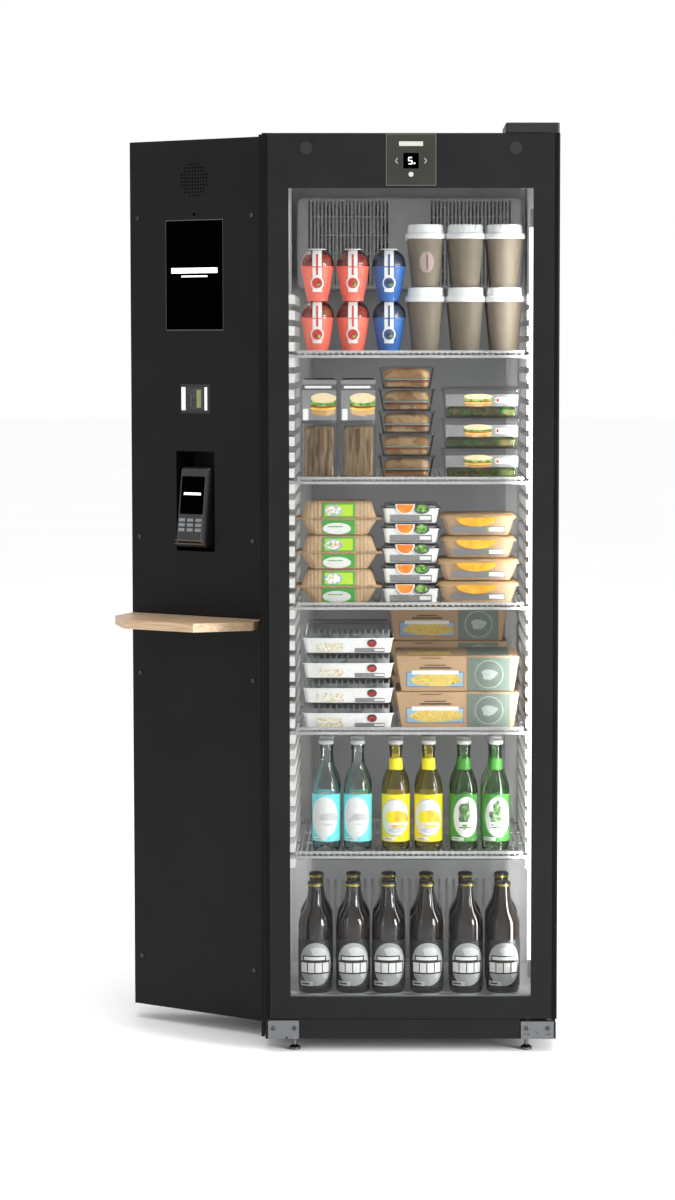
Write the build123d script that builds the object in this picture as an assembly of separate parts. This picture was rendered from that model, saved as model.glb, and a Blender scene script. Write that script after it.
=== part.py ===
"""Self-service snack fridge: an upright glass-door refrigerated cabinet with a payment column on its left.

Model axes: +X to the right, the door faces -Y, +Z up. The functions below work about the fridge's own centre
line on the floor, and save() moves every piece so that the origin is the middle of the whole footprint.
"""
from build123d import *
import math
import os

# ---- driving dimensions, in millimetres ----
FRIDGE_W = 597.0            # across the door
FRIDGE_D = 654.0            # from the control panel's face to the back panel
FRIDGE_H = 1884.0           # from the floor to the top of the hinge cover
ORIGIN_SHIFT_X = 160.3      # fridge centre line, measured from the middle of the whole footprint

HALF_W = FRIDGE_W / 2
PANEL_PROUD = 1.5                                # control panel stands this far out of the door
FRONT = -FRIDGE_D / 2 + PANEL_PROUD              # front face of the door
BACK = FRIDGE_D / 2
BODY_TOP = 1864.0
SHELL_BOTTOM = 30.0
SHEET = 1.5                                      # outer sheet steel

DOOR_T = 45.0
DOOR_BACK = FRONT + DOOR_T
DOOR_BOTTOM = 70.0
DOOR_TOP = BODY_TOP - 0.8
SEAL_T = 14.0                                    # room for the gasket between door and cabinet
CAB_FRONT = DOOR_BACK + SEAL_T
EDGE_W = 10.5                                    # vertical profiles on the door's two edges
FRAME_HALF = HALF_W - EDGE_W
GLASS_HALF = 245.0                               # visible opening of the door
GLASS_Z0 = 115.0
GLASS_Z1 = 1754.0
REBATE = 11.0                                    # glass runs this far behind the frame's lip
PANE_T = 4.0
LIP_T = 6.0
PANE_GAP = 18.0

LINER_T = 2.5
LINER_HALF = 254.0
FLOOR_Z = 105.0
CEILING_Z = 1795.0
LINER_BACK = 262.0
HUMP_FRONT = 95.0                                # step over the machine compartment
HUMP_TOP = 330.0
FLANGE_HALF = 283.0                              # liner flange that the gasket seals on
FLANGE_TOP = 1822.0
FOAM_BOTTOM = 76.0
FOAM_T = 38.0                                    # foam between the liner's step and the compartment
NICHE_FRONT = HUMP_FRONT + LINER_T + FOAM_T
NICHE_TOP = HUMP_TOP - LINER_T - FOAM_T

RIB_PITCH = 32.1
RIB_H = 18.5
RIB_TIP = 237.0
RIB_FRONT = FRONT + 76.0
RIB_BACK = 200.0
RIB_COUNT = 37
SHELF_COUNT = 5
RIBS_PER_SHELF = 8
SHELF_Z0 = 388.0                                 # underside of the lowest shelf
SHELF_STEP = RIBS_PER_SHELF * RIB_PITCH
SHELF_H = 15.0
LOW_RAIL_H = 5.5
TOP_RAIL_H = 5.0
WIRE_Z = 8.6                                     # middle of the grid's wires above the shelf's underside
SHELF_FRONT = FRONT + 76.0
SHELF_BACK = 214.0
SHELF_HALF = 248.0
GRID_HALF = 231.0
WIRE_PITCH = 11.6
WIRE_R = 2.0

HINGE_X = 281.0
HINGE_Y = FRONT + 27.0
PIN_R = 5.0
PIN_FIT = 0.05                                   # radial clearance of pins, shafts and axles

PLINTH_FRONT = FRONT + 5.0
PLINTH_Z0 = 28.0
PLINTH_Z1 = 68.5
BRACKET_TOP = 64.0
BRACKET_T = 3.8
BRACKET_X0 = 225.5                                # hinge bracket, from here to X1
BRACKET_X1 = 292.5
PLATE_T = 3.0
PAN_Z = 40.0
PAN_T = 2.0
FOOT_X = 237.5
FOOT_Y = FRONT + 37.0
FOOT_R = 12.0
STEM_R = 4.0
ROLLER_X = 255.0
ROLLER_Y = 285.0
ROLLER_R = 16.0
ROLLER_W = 20.0
AXLE_R = 4.0

COVER_HALF = 243.0                               # evaporator cover at the top of the back wall
COVER_Z0 = 1561.0
COVER_Z1 = 1759.0
COVER_FRONT = 161.0
COVER_T = 2.5
COVER_SLOT_END = 9.0                             # plain strip above and below its slots
COVER_SLOT_X0 = 48.0                             # first slot on each side of the plain middle
COVER_SLOT_PITCH = 8.0
COVER_SLOT_W = 4.0
COVER_SLOTS = 22                                 # on each side
EVAP_FAN_Z = 1660.0
EVAP_FAN_R = 68.0
SHAFT_R = 3.0
AIR_GAP = 12.0                                   # between the air panel and the liner
AIR_PANEL_T = 2.0
COND_FAN_R = 58.0
COND_FAN_Y = 225.0
COND_FAN_Z = 150.0

COLUMN_X = -590.0                                # left edge of the column's face
COLUMN_Y = 13.5
COLUMN_ANGLE = 33.85                             # the face is turned this far from the door's plane
FACE_W = 339.4
FACE_MID = FACE_W / 2
COLUMN_Z0 = 33.0
COLUMN_Z1 = 1866.0
COLUMN_BACK = 63.0
COLUMN_RIGHT = -308.3
COLUMN_SHEET = 2.0
FACE_T = 3.0                                     # thickness of the two face panels
BOARD_Z0 = 857.0                                 # wooden shelf
BOARD_T = 18.0
FACE_SCREW_Z = (138.0, 747.0, 1037.0, 1707.0)
FACE_SCREW_EDGE = 21.0
SCREEN_W = 152.0
SCREEN_Z0 = 1471.0
SCREEN_Z1 = 1702.0
SPEAKER_Z = 1783.0
SPEAKER_R = 36.0
SPEAKER_PITCH = 7.2
SPEAKER_HOLE_R = 2.0
SENSOR_Z = 1712.0
READER_W = 78.0
READER_Z0 = 1299.5
READER_Z1 = 1360.0
RECESS_W = 100.0
RECESS_Z0 = 1011.0
RECESS_Z1 = 1220.0
RECESS_DEPTH = 57.0
TERMINAL_TILT = 7.0
TERMINAL_Z = 1022.0
TERMINAL_OUT = 24.0                              # its foot stands this far out of the face
TERMINAL_W = 80.0
TERMINAL_H = 168.0
TERMINAL_T = 30.0
KEY_W = 16.0
KEY_H = 7.0
KEY_T = 4.0
KEY_PROUD = 1.2
KEY_GAP = 0.3
KEY_PITCH_X = 21.5
KEY_PITCH_Z = 10.3
KEY_Z0 = 34.7
RAIL_X = -305.5

SCREW_HEAD_R = 4.5
SCREW_R = 2.0
SCREW_HOLE_R = 2.15
PLATE_SCREW_X = 237.0
PLATE_SCREW_X_OUT = 280.0
PLATE_SCREW_Z = 50.0
PANEL_HALF = 51.0                                # control panel on the door
PANEL_Z0 = 1757.8
DISPLAY_Z = 1808.0
DISPLAY_HALF = 15.7
CAP_X = 209.5                                    # round caps high on the door
CAP_Z = 1833.7
CAP_R = 14.2
LED_X = 240.5                                    # front corner of the light profile
LED_SEAT_X = 250.0
LED_Z0 = 181.0
LED_Z1 = 1678.0
LED_END_H = 38.0
MAGNET_X0 = -210.0
MAGNET_X1 = -40.0
MAGNET_TOP = 1858.0
HINGE_COVER_X0 = 189.0
HINGE_COVER_X1 = 297.0
HINGE_COVER_BACK = -138.0
COMPRESSOR_X = -130.0
COMPRESSOR_R = 62.0
CONDENSER_X = 62.0
COND_FAN_X = 108.0
INLET_X = -200.0
INLET_Z = 102.0


# ---- helpers ----
def block(x0, x1, y0, y1, z0, z1):
    """Box between six limits."""
    size = Box(x1 - x0, y1 - y0, z1 - z0)
    return Pos((x0 + x1) / 2, (y0 + y1) / 2, (z0 + z1) / 2) * size


def centred(half, y0, y1, z0, z1):
    """Box that is symmetric about the fridge's centre line."""
    return block(-half, half, y0, y1, z0, z1)


def rod_x(x0, x1, y, z, r):
    return Pos((x0 + x1) / 2, y, z) * Rot(0, 90, 0) * Cylinder(r, x1 - x0)


def rod_y(x, y0, y1, z, r):
    return Pos(x, (y0 + y1) / 2, z) * Rot(90, 0, 0) * Cylinder(r, y1 - y0)


def rod_z(x, y, z0, z1, r):
    return Pos(x, y, (z0 + z1) / 2) * Cylinder(r, z1 - z0)


def ring(half_out, z0, z1, width, y0, y1):
    """Rectangular frame in the plane of the door."""
    outer = centred(half_out, y0, y1, z0, z1)
    return outer - centred(half_out - width, y0 - 1, y1 + 1, z0 + width, z1 - width)


def join(parts):
    """One solid from pieces that overlap each other."""
    return parts[0].fuse(*parts[1:])


def prism_x(points, half):
    """Outline in the YZ plane, drawn out to both sides of the centre line."""
    face = make_face(Polyline(*[(0, y, z) for y, z in points], close=True))
    return extrude(face, amount=half, dir=(1, 0, 0), both=True)


def prism_z(points, z0, z1):
    """Outline in the XY plane, drawn up from z0 to z1."""
    face = make_face(Polyline(*[(x, y, z0) for x, y in points], close=True))
    return extrude(face, amount=z1 - z0, dir=(0, 0, 1))


def on_face(shape):
    """From the column's face frame (x along the face, y into the column) to the fridge's frame."""
    return Pos(COLUMN_X, COLUMN_Y, 0) * Rot(0, 0, -COLUMN_ANGLE) * shape


def on_terminal(shape):
    """From the card terminal's own frame (origin low on its front face) to the fridge's frame."""
    return on_face(Pos(FACE_MID, -TERMINAL_OUT, TERMINAL_Z) * Rot(-TERMINAL_TILT, 0, 0) * shape)


def save(shape, node):
    moved = Pos(ORIGIN_SHIFT_X, 0, 0) * shape
    export_step(moved, f"parts/{node}.step")


def screw():
    """Pan-head screw: head's underside on y = 0, shank towards +Y, hexagon socket."""
    head = Rot(90, 0, 0) * Pos(0, 0, 1.2) * Cylinder(SCREW_HEAD_R, 2.4)
    head = fillet(head.edges().group_by(Axis.Y)[0], 1.2)
    shank = rod_y(0, 0, 9, 0, SCREW_R)
    socket = Rot(90, 0, 0) * Pos(0, 0, 1.2) * extrude(RegularPolygon(2.2, 6), amount=2)
    return head + shank - socket


# ---- cabinet ----
def make_outer_shell():
    outer = centred(HALF_W, CAB_FRONT, BACK, SHELL_BOTTOM, BODY_TOP)
    inside = centred(HALF_W - SHEET, CAB_FRONT + SHEET, BACK + 1, SHELL_BOTTOM - 1, BODY_TOP - SHEET)
    opening = centred(FLANGE_HALF + 0.3, CAB_FRONT - 1, CAB_FRONT + 2, SHELL_BOTTOM - 1, FLANGE_TOP + 0.3)
    base_room = centred(HALF_W - SHEET, CAB_FRONT - 1, CAB_FRONT + 2, SHELL_BOTTOM - 1, FOAM_BOTTOM)
    return outer - inside - opening - base_room - magnet_room()


def liner_outline(offset):
    """Side view of the liner's hollow, or of its outside with offset = LINER_T."""
    return [
        (CAB_FRONT, FLOOR_Z - offset),
        (HUMP_FRONT + offset, FLOOR_Z - offset),
        (HUMP_FRONT + offset, HUMP_TOP - offset),
        (LINER_BACK + offset, HUMP_TOP - offset),
        (LINER_BACK + offset, CEILING_Z + offset),
        (CAB_FRONT, CEILING_Z + offset),
    ]


def make_insulation():
    foam = centred(HALF_W - SHEET, CAB_FRONT + LINER_T, BACK - SHEET, FOAM_BOTTOM, BODY_TOP - SHEET)
    foam -= prism_x(liner_outline(LINER_T), LINER_HALF + LINER_T)
    foam -= centred(HALF_W, NICHE_FRONT, BACK, FOAM_BOTTOM - 1, NICHE_TOP)
    return foam - magnet_room()


def rib_levels():
    """Undersides of the ribs, from the lowest shelf up. A shelf lies on the rib just below it."""
    first = SHELF_Z0 - RIB_H - 0.4
    return [first + RIB_PITCH * i for i in range(RIB_COUNT)]


def make_liner():
    shell = prism_x(liner_outline(LINER_T), LINER_HALF + LINER_T)
    flange = centred(FLANGE_HALF, CAB_FRONT, CAB_FRONT + LINER_T, FOAM_BOTTOM, FLANGE_TOP)
    body = (shell + flange) - prism_x(liner_outline(0), LINER_HALF)
    body -= centred(LINER_HALF, CAB_FRONT - 1, CAB_FRONT + 5, FLOOR_Z, CEILING_Z)
    ribs = []
    for z in rib_levels():
        for x0, x1 in ((-LINER_HALF - 1, -RIB_TIP), (RIB_TIP, LINER_HALF + 1)):
            ribs.append(block(x0, x1, RIB_FRONT, RIB_BACK, z, z + RIB_H))
    return join([body] + ribs)


def make_back_panel():
    panel = centred(HALF_W - SHEET, BACK - SHEET, BACK, NICHE_TOP, BODY_TOP - SHEET)
    # pressed stiffening grooves
    for x in (-180, 0, 180):
        panel -= block(x - 6, x + 6, BACK - 0.6, BACK + 1, 420, 1760)
    return panel


def make_rear_grille():
    grille = centred(HALF_W - SHEET, BACK - SHEET, BACK, PAN_Z + 22, NICHE_TOP)
    for i in range(17):
        z = 96 + 10 * i
        grille -= block(-90, 250, BACK - 3, BACK + 1, z, z + 5)
        if z > 130:
            grille -= block(-270, -110, BACK - 3, BACK + 1, z, z + 5)
    return grille - inlet_room(0)


def inlet_room(gap):
    across, up = 14 + gap, 10 + gap
    return block(INLET_X - across, INLET_X + across, BACK - 30, BACK + 3, INLET_Z - up, INLET_Z + up)


def make_power_inlet():
    """Three-pin appliance inlet: flanged housing with a socket and three flat pins."""
    x, z = INLET_X, INLET_Z
    housing = block(x - 14, x + 14, BACK - 24, BACK, z - 10, z + 10)
    flange = block(x - 24, x + 24, BACK - SHEET - 2, BACK - SHEET, z - 14, z + 14)
    socket = block(x - 12, x + 12, BACK - 18, BACK + 3, z - 7.5, z + 7.5)
    pins = []
    for px, pz in ((x - 7, z - 1), (x, z + 1), (x + 7, z - 1)):
        pins.append(block(px - 1, px + 1, BACK - 19, BACK - 7, pz - 2, pz + 2))
    return (housing + flange - socket).fuse(*pins)


def make_base_frame():
    """Chassis pan with the plinth in front, roller forks behind and nuts for the front feet."""
    half = HALF_W - SHEET - 0.2
    bottom = centred(half, CAB_FRONT, BACK - 2, PAN_Z, PAN_Z + PAN_T)
    sides = [block(s * half - (PAN_T if s > 0 else 0), s * half + (PAN_T if s < 0 else 0),
                   CAB_FRONT, BACK - 2, PAN_Z, FOAM_BOTTOM) for s in (-1, 1)]
    rear = centred(half, BACK - 2 - PAN_T, BACK - 2, PAN_Z, PAN_Z + 20)
    front = centred(half, CAB_FRONT - PAN_T, CAB_FRONT, PLINTH_Z0, PLINTH_Z1)
    lip = centred(half, CAB_FRONT, CAB_FRONT + PAN_T, PLINTH_Z0, FOAM_BOTTOM)
    plinth = centred(half, PLINTH_FRONT, CAB_FRONT, PLINTH_Z0, PLINTH_Z1)
    y0, y1 = PLINTH_FRONT + PAN_T, CAB_FRONT - PAN_T
    plinth -= centred(half - PAN_T, y0, y1, PLINTH_Z0 + PAN_T, PLINTH_Z1 - PAN_T)
    nuts = [rod_z(s * FOOT_X, FOOT_Y, PLINTH_Z0, 46, 9) for s in (-1, 1)]
    forks = []
    for side in (-1, 1):
        for cheek in (-1, 1):
            x = side * ROLLER_X + cheek * (ROLLER_W / 2 + 2.5)
            forks.append(block(x - 1.5, x + 1.5, ROLLER_Y - 12, ROLLER_Y + 12, 8, PAN_Z + 1))
        reach = ROLLER_W / 2 + 4
        forks.append(rod_x(side * ROLLER_X - reach, side * ROLLER_X + reach, ROLLER_Y, ROLLER_R, AXLE_R))
    frame = join([bottom, rear, front, lip, plinth] + sides + nuts + forks)
    for side in (-1, 1):
        frame -= rod_z(side * FOOT_X, FOOT_Y, PLINTH_Z0 - 1, 50, STEM_R + PIN_FIT)
        for x in (PLATE_SCREW_X, PLATE_SCREW_X_OUT):
            frame -= rod_y(side * x, PLINTH_FRONT - 1, PLINTH_FRONT + PAN_T + 1, PLATE_SCREW_Z, SCREW_HOLE_R)
    # the hinge bracket's flange lies in this corner
    corner_z = BRACKET_TOP - BRACKET_T - 0.2
    return frame - block(BRACKET_X0 - 1, HALF_W, PLINTH_FRONT - 1, HINGE_Y + 16, corner_z, PLINTH_Z1 + 1)


def front_plate(x0, x1, z1):
    plate = block(x0, x1, PLINTH_FRONT - PLATE_T, PLINTH_FRONT, PLINTH_Z0, z1)
    return fillet(plate.edges().filter_by(Axis.Y), 2.5)


def plate_holes(side):
    reach = (PLINTH_FRONT - PLATE_T - 1, PLINTH_FRONT + 1)
    return [rod_y(side * x, *reach, PLATE_SCREW_Z, SCREW_HOLE_R) for x in (PLATE_SCREW_X, PLATE_SCREW_X_OUT)]


def make_lower_hinge():
    """Angle bracket on the plinth, with the hinge pin and its bearing washer."""
    low = BRACKET_TOP - BRACKET_T
    plate = front_plate(BRACKET_X0, BRACKET_X1, BRACKET_TOP)
    flange = block(BRACKET_X0, BRACKET_X1, PLINTH_FRONT - 1, HINGE_Y + 15, low, BRACKET_TOP)
    pin = rod_z(HINGE_X, HINGE_Y, low + 1, DOOR_BOTTOM + 26, PIN_R)
    washer = rod_z(HINGE_X, HINGE_Y, low + 1, DOOR_BOTTOM - 0.4, 7)
    stop = rod_z(FOOT_X + 1.5, HINGE_Y, low + 1, BRACKET_TOP + 2.5, 5)
    bracket = join([plate, flange, pin, washer, stop])
    for hole in plate_holes(1):
        bracket -= hole
    for x in (237, 280):
        bracket -= block(x - 5, x + 5, PLINTH_FRONT - PLATE_T - 1, PLINTH_FRONT - 1, 36, 41)
    return bracket - rod_y(258, PLINTH_FRONT - PLATE_T - 1, PLINTH_FRONT - 1.5, 41, 2)


def make_base_cover_plate():
    plate = front_plate(-291, -228, 66)
    for hole in plate_holes(-1):
        plate -= hole
    return plate - block(-255, -251.5, PLINTH_FRONT - PLATE_T - 1, PLINTH_FRONT + 1, PLINTH_Z0 - 1, 33)


def make_upper_hinge():
    """Steel arm screwed on the cabinet's roof, reaching over the door with a pin pointing down."""
    foot = block(205, 292, -240, -150, BODY_TOP, BODY_TOP + 4)
    arm = block(262, 292, HINGE_Y - 14, -150, BODY_TOP, BODY_TOP + 4)
    pin = rod_z(HINGE_X, HINGE_Y, BODY_TOP - 27, BODY_TOP + 2, PIN_R)
    bolts = [rod_z(x, y, BODY_TOP + 2, BODY_TOP + 9, 6) for x in (222, 275) for y in (-220, -172)]
    return join([foot, arm, pin] + bolts)


def make_hinge_cover():
    cover = block(HINGE_COVER_X0, HINGE_COVER_X1, FRONT, HINGE_COVER_BACK, BODY_TOP, FRIDGE_H)
    cover = fillet(cover.edges().filter_by(Axis.Z), 5)
    cover = fillet(cover.edges().group_by(Axis.Z)[-1], 3)
    t = 2.5
    x0, x1 = HINGE_COVER_X0 + t, HINGE_COVER_X1 - t
    return cover - block(x0, x1, FRONT + t, HINGE_COVER_BACK - t, BODY_TOP - 1, FRIDGE_H - t)


def magnet_room():
    x0, x1 = MAGNET_X0 - 0.3, MAGNET_X1 + 0.3
    return block(x0, x1, CAB_FRONT - 6, CAB_FRONT + 20.3, FLANGE_TOP, MAGNET_TOP + 0.3)


def make_lock_magnet():
    body = block(MAGNET_X0, MAGNET_X1, CAB_FRONT - 5, CAB_FRONT + 20, FLANGE_TOP + 0.7, MAGNET_TOP)
    for z in (MAGNET_TOP - 26, MAGNET_TOP - 12):
        body -= block(MAGNET_X0 + 10, MAGNET_X1 - 10, CAB_FRONT - 6, CAB_FRONT - 4, z, z + 3)
    return body


def make_panel_screws():
    """The twelve screws seen from the front: two on each base plate and eight on the column's face."""
    group = []
    for x in (-PLATE_SCREW_X_OUT, -PLATE_SCREW_X, PLATE_SCREW_X, PLATE_SCREW_X_OUT):
        group.append(Pos(x, PLINTH_FRONT - PLATE_T, PLATE_SCREW_Z) * screw())
    for z in FACE_SCREW_Z:
        for x in (FACE_SCREW_EDGE, FACE_W - FACE_SCREW_EDGE):
            group.append(on_face(Pos(x, 0, z) * screw()))
    return Compound(group)


# ---- cooling ----
def finned_coil(length, depth, height, pitch):
    """Tube-and-fin block centred on the origin, tubes along X."""
    count = int(length / pitch)
    fins = [Pos((i - count / 2) * pitch, 0, 0) * Box(1.2, depth, height) for i in range(count + 1)]
    tubes = []
    for row in range(int(height / 40)):
        z = (row - (int(height / 40) - 1) / 2) * 40
        for y in (-depth / 4, depth / 4):
            tubes.append(rod_x(-length / 2 - 8, length / 2 + 8, y, z, 4.5))
    return join(tubes[:1] + fins + tubes[1:])


def fan_rotor(radius, width, blades):
    """Fan wheel about the Y axis, centred on the origin, with a bore for its shaft."""
    hub = rod_y(0, -width / 2, width / 2, 0, radius * 0.3)
    vanes = []
    reach = radius * 0.74
    for i in range(blades):
        vane = Pos(0, 0, radius * 0.25 + reach / 2) * Rot(0, 0, 32) * Box(radius * 0.5, 1.8, reach)
        vanes.append(Rot(0, 360 / blades * i, 0) * vane)
    wheel = join([hub] + vanes) & rod_y(0, -width / 2, width / 2, 0, radius)
    return wheel - rod_y(0, -width, width, 0, SHAFT_R + PIN_FIT)


def make_fan_cover():
    """Air duct cover with two slotted grilles. Its plain middle carries the fan motor on the inside."""
    cover = centred(COVER_HALF, COVER_FRONT, LINER_BACK, COVER_Z0, COVER_Z1)
    cover = fillet(cover.edges().filter_by(Axis.Y), 14)
    cover = fillet(cover.edges().group_by(Axis.Y)[0], 6)
    t = COVER_T
    cover -= centred(COVER_HALF - t, COVER_FRONT + t, LINER_BACK + 1, COVER_Z0 + t, COVER_Z1 - t)
    for side in (-1, 1):
        for i in range(COVER_SLOTS):
            x0 = side * (COVER_SLOT_X0 + COVER_SLOT_PITCH * i) - COVER_SLOT_W / 2
            z0, z1 = COVER_Z0 + COVER_SLOT_END, COVER_Z1 - COVER_SLOT_END
            cover -= block(x0, x0 + COVER_SLOT_W, COVER_FRONT - 1, COVER_FRONT + t + 1, z0, z1)
    motor = rod_y(0, COVER_FRONT + 1, COVER_FRONT + 14, EVAP_FAN_Z, 24)
    shaft = rod_y(0, COVER_FRONT + 10, COVER_FRONT + 34, EVAP_FAN_Z, SHAFT_R)
    return cover + motor + shaft


def make_evaporator():
    return Pos(0, 228, 1660) * finned_coil(400, 44, 160, 20)


def make_evaporator_fan():
    return Pos(0, COVER_FRONT + 23, EVAP_FAN_Z) * fan_rotor(EVAP_FAN_R, 14, 7)


def make_rear_air_panel():
    """Bent sheet before the back wall and the step, with return-air slots low down and an air gap behind."""
    t = AIR_PANEL_T
    back = LINER_BACK - AIR_GAP
    step = HUMP_FRONT - AIR_GAP
    outline = [
        (back - t, COVER_Z0 - 1), (back, COVER_Z0 - 1), (back, HUMP_TOP), (step, HUMP_TOP),
        (step, FLOOR_Z + 12), (step - t, FLOOR_Z + 12), (step - t, HUMP_TOP + t), (back - t, HUMP_TOP + t),
    ]
    panel = prism_x(outline, 212)
    for i in range(25):
        x = (i - 12) * 16
        panel -= block(x - 3, x + 3, step - t - 1, step + 1, 150, 290)
    return panel


def make_compressor():
    """Hermetic compressor: domed can on four feet, with tube stubs and a terminal box."""
    x, y = COMPRESSOR_X, COND_FAN_Y
    can = Pos(x, y, 112) * Cylinder(COMPRESSOR_R, 110)
    can = fillet(can.edges().filter_by(GeomType.CIRCLE), 24)
    plate = block(x - 70, x + 70, y - 45, y + 45, 54, 60)
    feet = [rod_z(x + i, y + k, PAN_Z + PAN_T, 56, 9) for i in (-60, 60) for k in (-34, 34)]
    box = block(x + 50, x + 78, y - 22, y + 22, 85, 135)
    stubs = [rod_z(x - 20, y, 150, 185, 5), rod_z(x + 12, y + 20, 150, 178, 4)]
    return join([can, plate, box] + feet + stubs)


def make_condenser():
    coil = Pos(CONDENSER_X, COND_FAN_Y, COND_FAN_Z) * Rot(0, 0, 90) * finned_coil(140, 44, 170, 10)
    x, y = CONDENSER_X, COND_FAN_Y
    tray = block(x - 24, x + 24, y - 66, y + 66, PAN_Z + PAN_T, 68)
    return join([coil, tray])


def make_condenser_fan_frame():
    """Square fan plate with a round air passage, motor struts and shaft."""
    x, y, z = COND_FAN_X, COND_FAN_Y, COND_FAN_Z
    plate = block(x - 10, x - 7, y - 70, y + 70, PAN_Z + PAN_T, 225)
    collar = rod_x(x - 10, x + 14, y, z, COND_FAN_R + 6)
    frame = plate + collar - rod_x(x - 18, x + 22, y, z, COND_FAN_R + 3)
    arm = COND_FAN_R + 5
    struts = [block(x + 10, x + 14, y - arm, y + arm, z - 3, z + 3)]
    struts.append(block(x + 10, x + 14, y - 3, y + 3, z - arm, z + arm))
    motor = rod_x(x + 10, x + 42, y, z, 22)
    shaft = rod_x(x - 9, x + 12, y, z, SHAFT_R)
    return join([frame, motor, shaft] + struts)


def make_condenser_fan():
    return Pos(COND_FAN_X, COND_FAN_Y, COND_FAN_Z) * Rot(0, 0, 90) * fan_rotor(COND_FAN_R, 14, 5)


# ---- inside the cabinet ----
def make_shelf(index):
    """Wire shelf: wide carrying frame, narrower grid of front-to-back wires, two front rails."""
    z = SHELF_Z0 + index * SHELF_STEP
    y0, y1 = SHELF_FRONT, SHELF_BACK
    low_rail = centred(SHELF_HALF, y0, y0 + 6, 0, LOW_RAIL_H)
    top_rail = centred(GRID_HALF, y0, y0 + 5, SHELF_H - TOP_RAIL_H, SHELF_H)
    rear_rail = centred(GRID_HALF, y1 - 5, y1, 4, SHELF_H)
    sides = [block(s * (SHELF_HALF - 4) - 4, s * (SHELF_HALF - 4) + 4, y0, y1, 0, 7) for s in (-1, 1)]
    bars = [rod_x(-SHELF_HALF + 2, SHELF_HALF - 2, y, 4.5, 2.5) for y in (FRONT + 256, FRONT + 400, y1 - 3)]
    wires = []
    count = 40
    for i in range(count):
        x = (i - (count - 1) / 2) * WIRE_PITCH
        wires.append(rod_y(x, y0 + 1, y1 - 1, WIRE_Z, WIRE_R))
    grid = join([low_rail, top_rail, rear_rail] + sides + bars + wires)
    return Pos(0, 0, z) * grid


def make_led_housing():
    """Light profile on the right wall, just behind the door, with an end block at each end."""
    y0 = CAB_FRONT + 0.5
    y1 = RIB_FRONT - 0.6
    z0, z1 = LED_Z0 - LED_END_H, LED_Z1 + LED_END_H
    spine = block(LED_SEAT_X + 0.2, LINER_HALF, y0, y1, z0, z1)
    low_end = block(LED_X + 0.5, LED_SEAT_X + 2, y0, y1, z0, LED_Z0 - 0.5)
    high_end = block(LED_X + 0.5, LED_SEAT_X + 2, y0, y1, LED_Z1 + 0.5, z1)
    return join([spine, low_end, high_end])


def make_led_diffuser():
    bar = block(LED_X, LED_SEAT_X, CAB_FRONT + 0.5, RIB_FRONT - 1, LED_Z0, LED_Z1)
    return fillet(bar.edges().filter_by(Axis.Z).group_by(Axis.X)[0], 2)


# ---- door ----
def make_door_frame():
    """Hollow frame with a rebate for the glass and solid corners for the hinge pins."""
    frame = centred(FRAME_HALF, FRONT, DOOR_BACK, DOOR_BOTTOM, DOOR_TOP)
    frame = chamfer(frame.edges().group_by(Axis.Y)[0], 1.2)
    opening = centred(GLASS_HALF, FRONT - 1, DOOR_BACK + 1, GLASS_Z0, GLASS_Z1)
    rebate = centred(GLASS_HALF + REBATE, FRONT + LIP_T, DOOR_BACK + 1, GLASS_Z0 - REBATE, GLASS_Z1 + REBATE)
    wall = 3.0
    z0, z1 = DOOR_BOTTOM + wall, DOOR_TOP - wall
    hollow = centred(FRAME_HALF - wall, FRONT + 8, DOOR_BACK - wall, z0, z1)
    core = GLASS_HALF + REBATE + wall
    hollow -= centred(core, FRONT, DOOR_BACK, GLASS_Z0 - REBATE - wall, GLASS_Z1 + REBATE + wall)
    hollow -= block(265, HALF_W, FRONT, DOOR_BACK, 60, 130)
    hollow -= block(265, HALF_W, FRONT, DOOR_BACK, 1800, BODY_TOP)
    frame = frame - opening - rebate - hollow
    frame -= centred(PANEL_HALF + 0.3, FRONT - 1, FRONT + 5, PANEL_Z0 - 0.3, BODY_TOP)
    for z0, z1 in ((DOOR_BOTTOM - 1, 98), (BODY_TOP - 30, BODY_TOP)):
        frame -= rod_z(HINGE_X, HINGE_Y, z0, z1, PIN_R + PIN_FIT)
    # round cap seats high on the frame
    for x in (-CAP_X, CAP_X):
        cap = rod_y(x, FRONT - 2, FRONT + 1, CAP_Z, CAP_R - 1)
        frame -= rod_y(x, FRONT - 1, FRONT + 0.8, CAP_Z, CAP_R) - cap
    return frame


def make_door_edge_profiles():
    """The two vertical edge profiles of the door."""
    group = []
    for side in (-1, 1):
        x0, x1 = sorted((side * (FRAME_HALF + 0.2), side * HALF_W))
        bar = block(x0, x1, FRONT + 0.4, DOOR_BACK - 3, DOOR_BOTTOM, DOOR_TOP)
        outer = bar.edges().filter_by(Axis.Z).group_by(Axis.X)[0 if side < 0 else -1]
        bar = fillet(outer, 4)
        if side < 0:
            # finger groove along the opening edge
            bar -= block(-HALF_W - 1, -HALF_W + 4, FRONT + 18, FRONT + 32, 600, 1350)
        group.append(bar)
    return Compound(group)


def pane(y0):
    half = GLASS_HALF + REBATE - 0.3
    return centred(half, y0, y0 + PANE_T, GLASS_Z0 - REBATE + 0.3, GLASS_Z1 + REBATE - 0.3)


def make_glass_spacer():
    """Light metal spacer between the two panes; its bottom bar is the tall one."""
    y0 = FRONT + LIP_T + PANE_T
    half = GLASS_HALF + REBATE - 0.3
    z0, z1 = GLASS_Z0 - REBATE + 0.3, GLASS_Z1 + REBATE - 0.3
    outer = centred(half, y0, y0 + PANE_GAP, z0, z1)
    return outer - centred(half - 8.7, y0 - 1, y0 + PANE_GAP + 1, GLASS_Z0 + 2.5, z1 - 8.7)


def make_door_gasket():
    return ring(279, 84, 1817, 16, DOOR_BACK, CAB_FRONT - 0.3)


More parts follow.
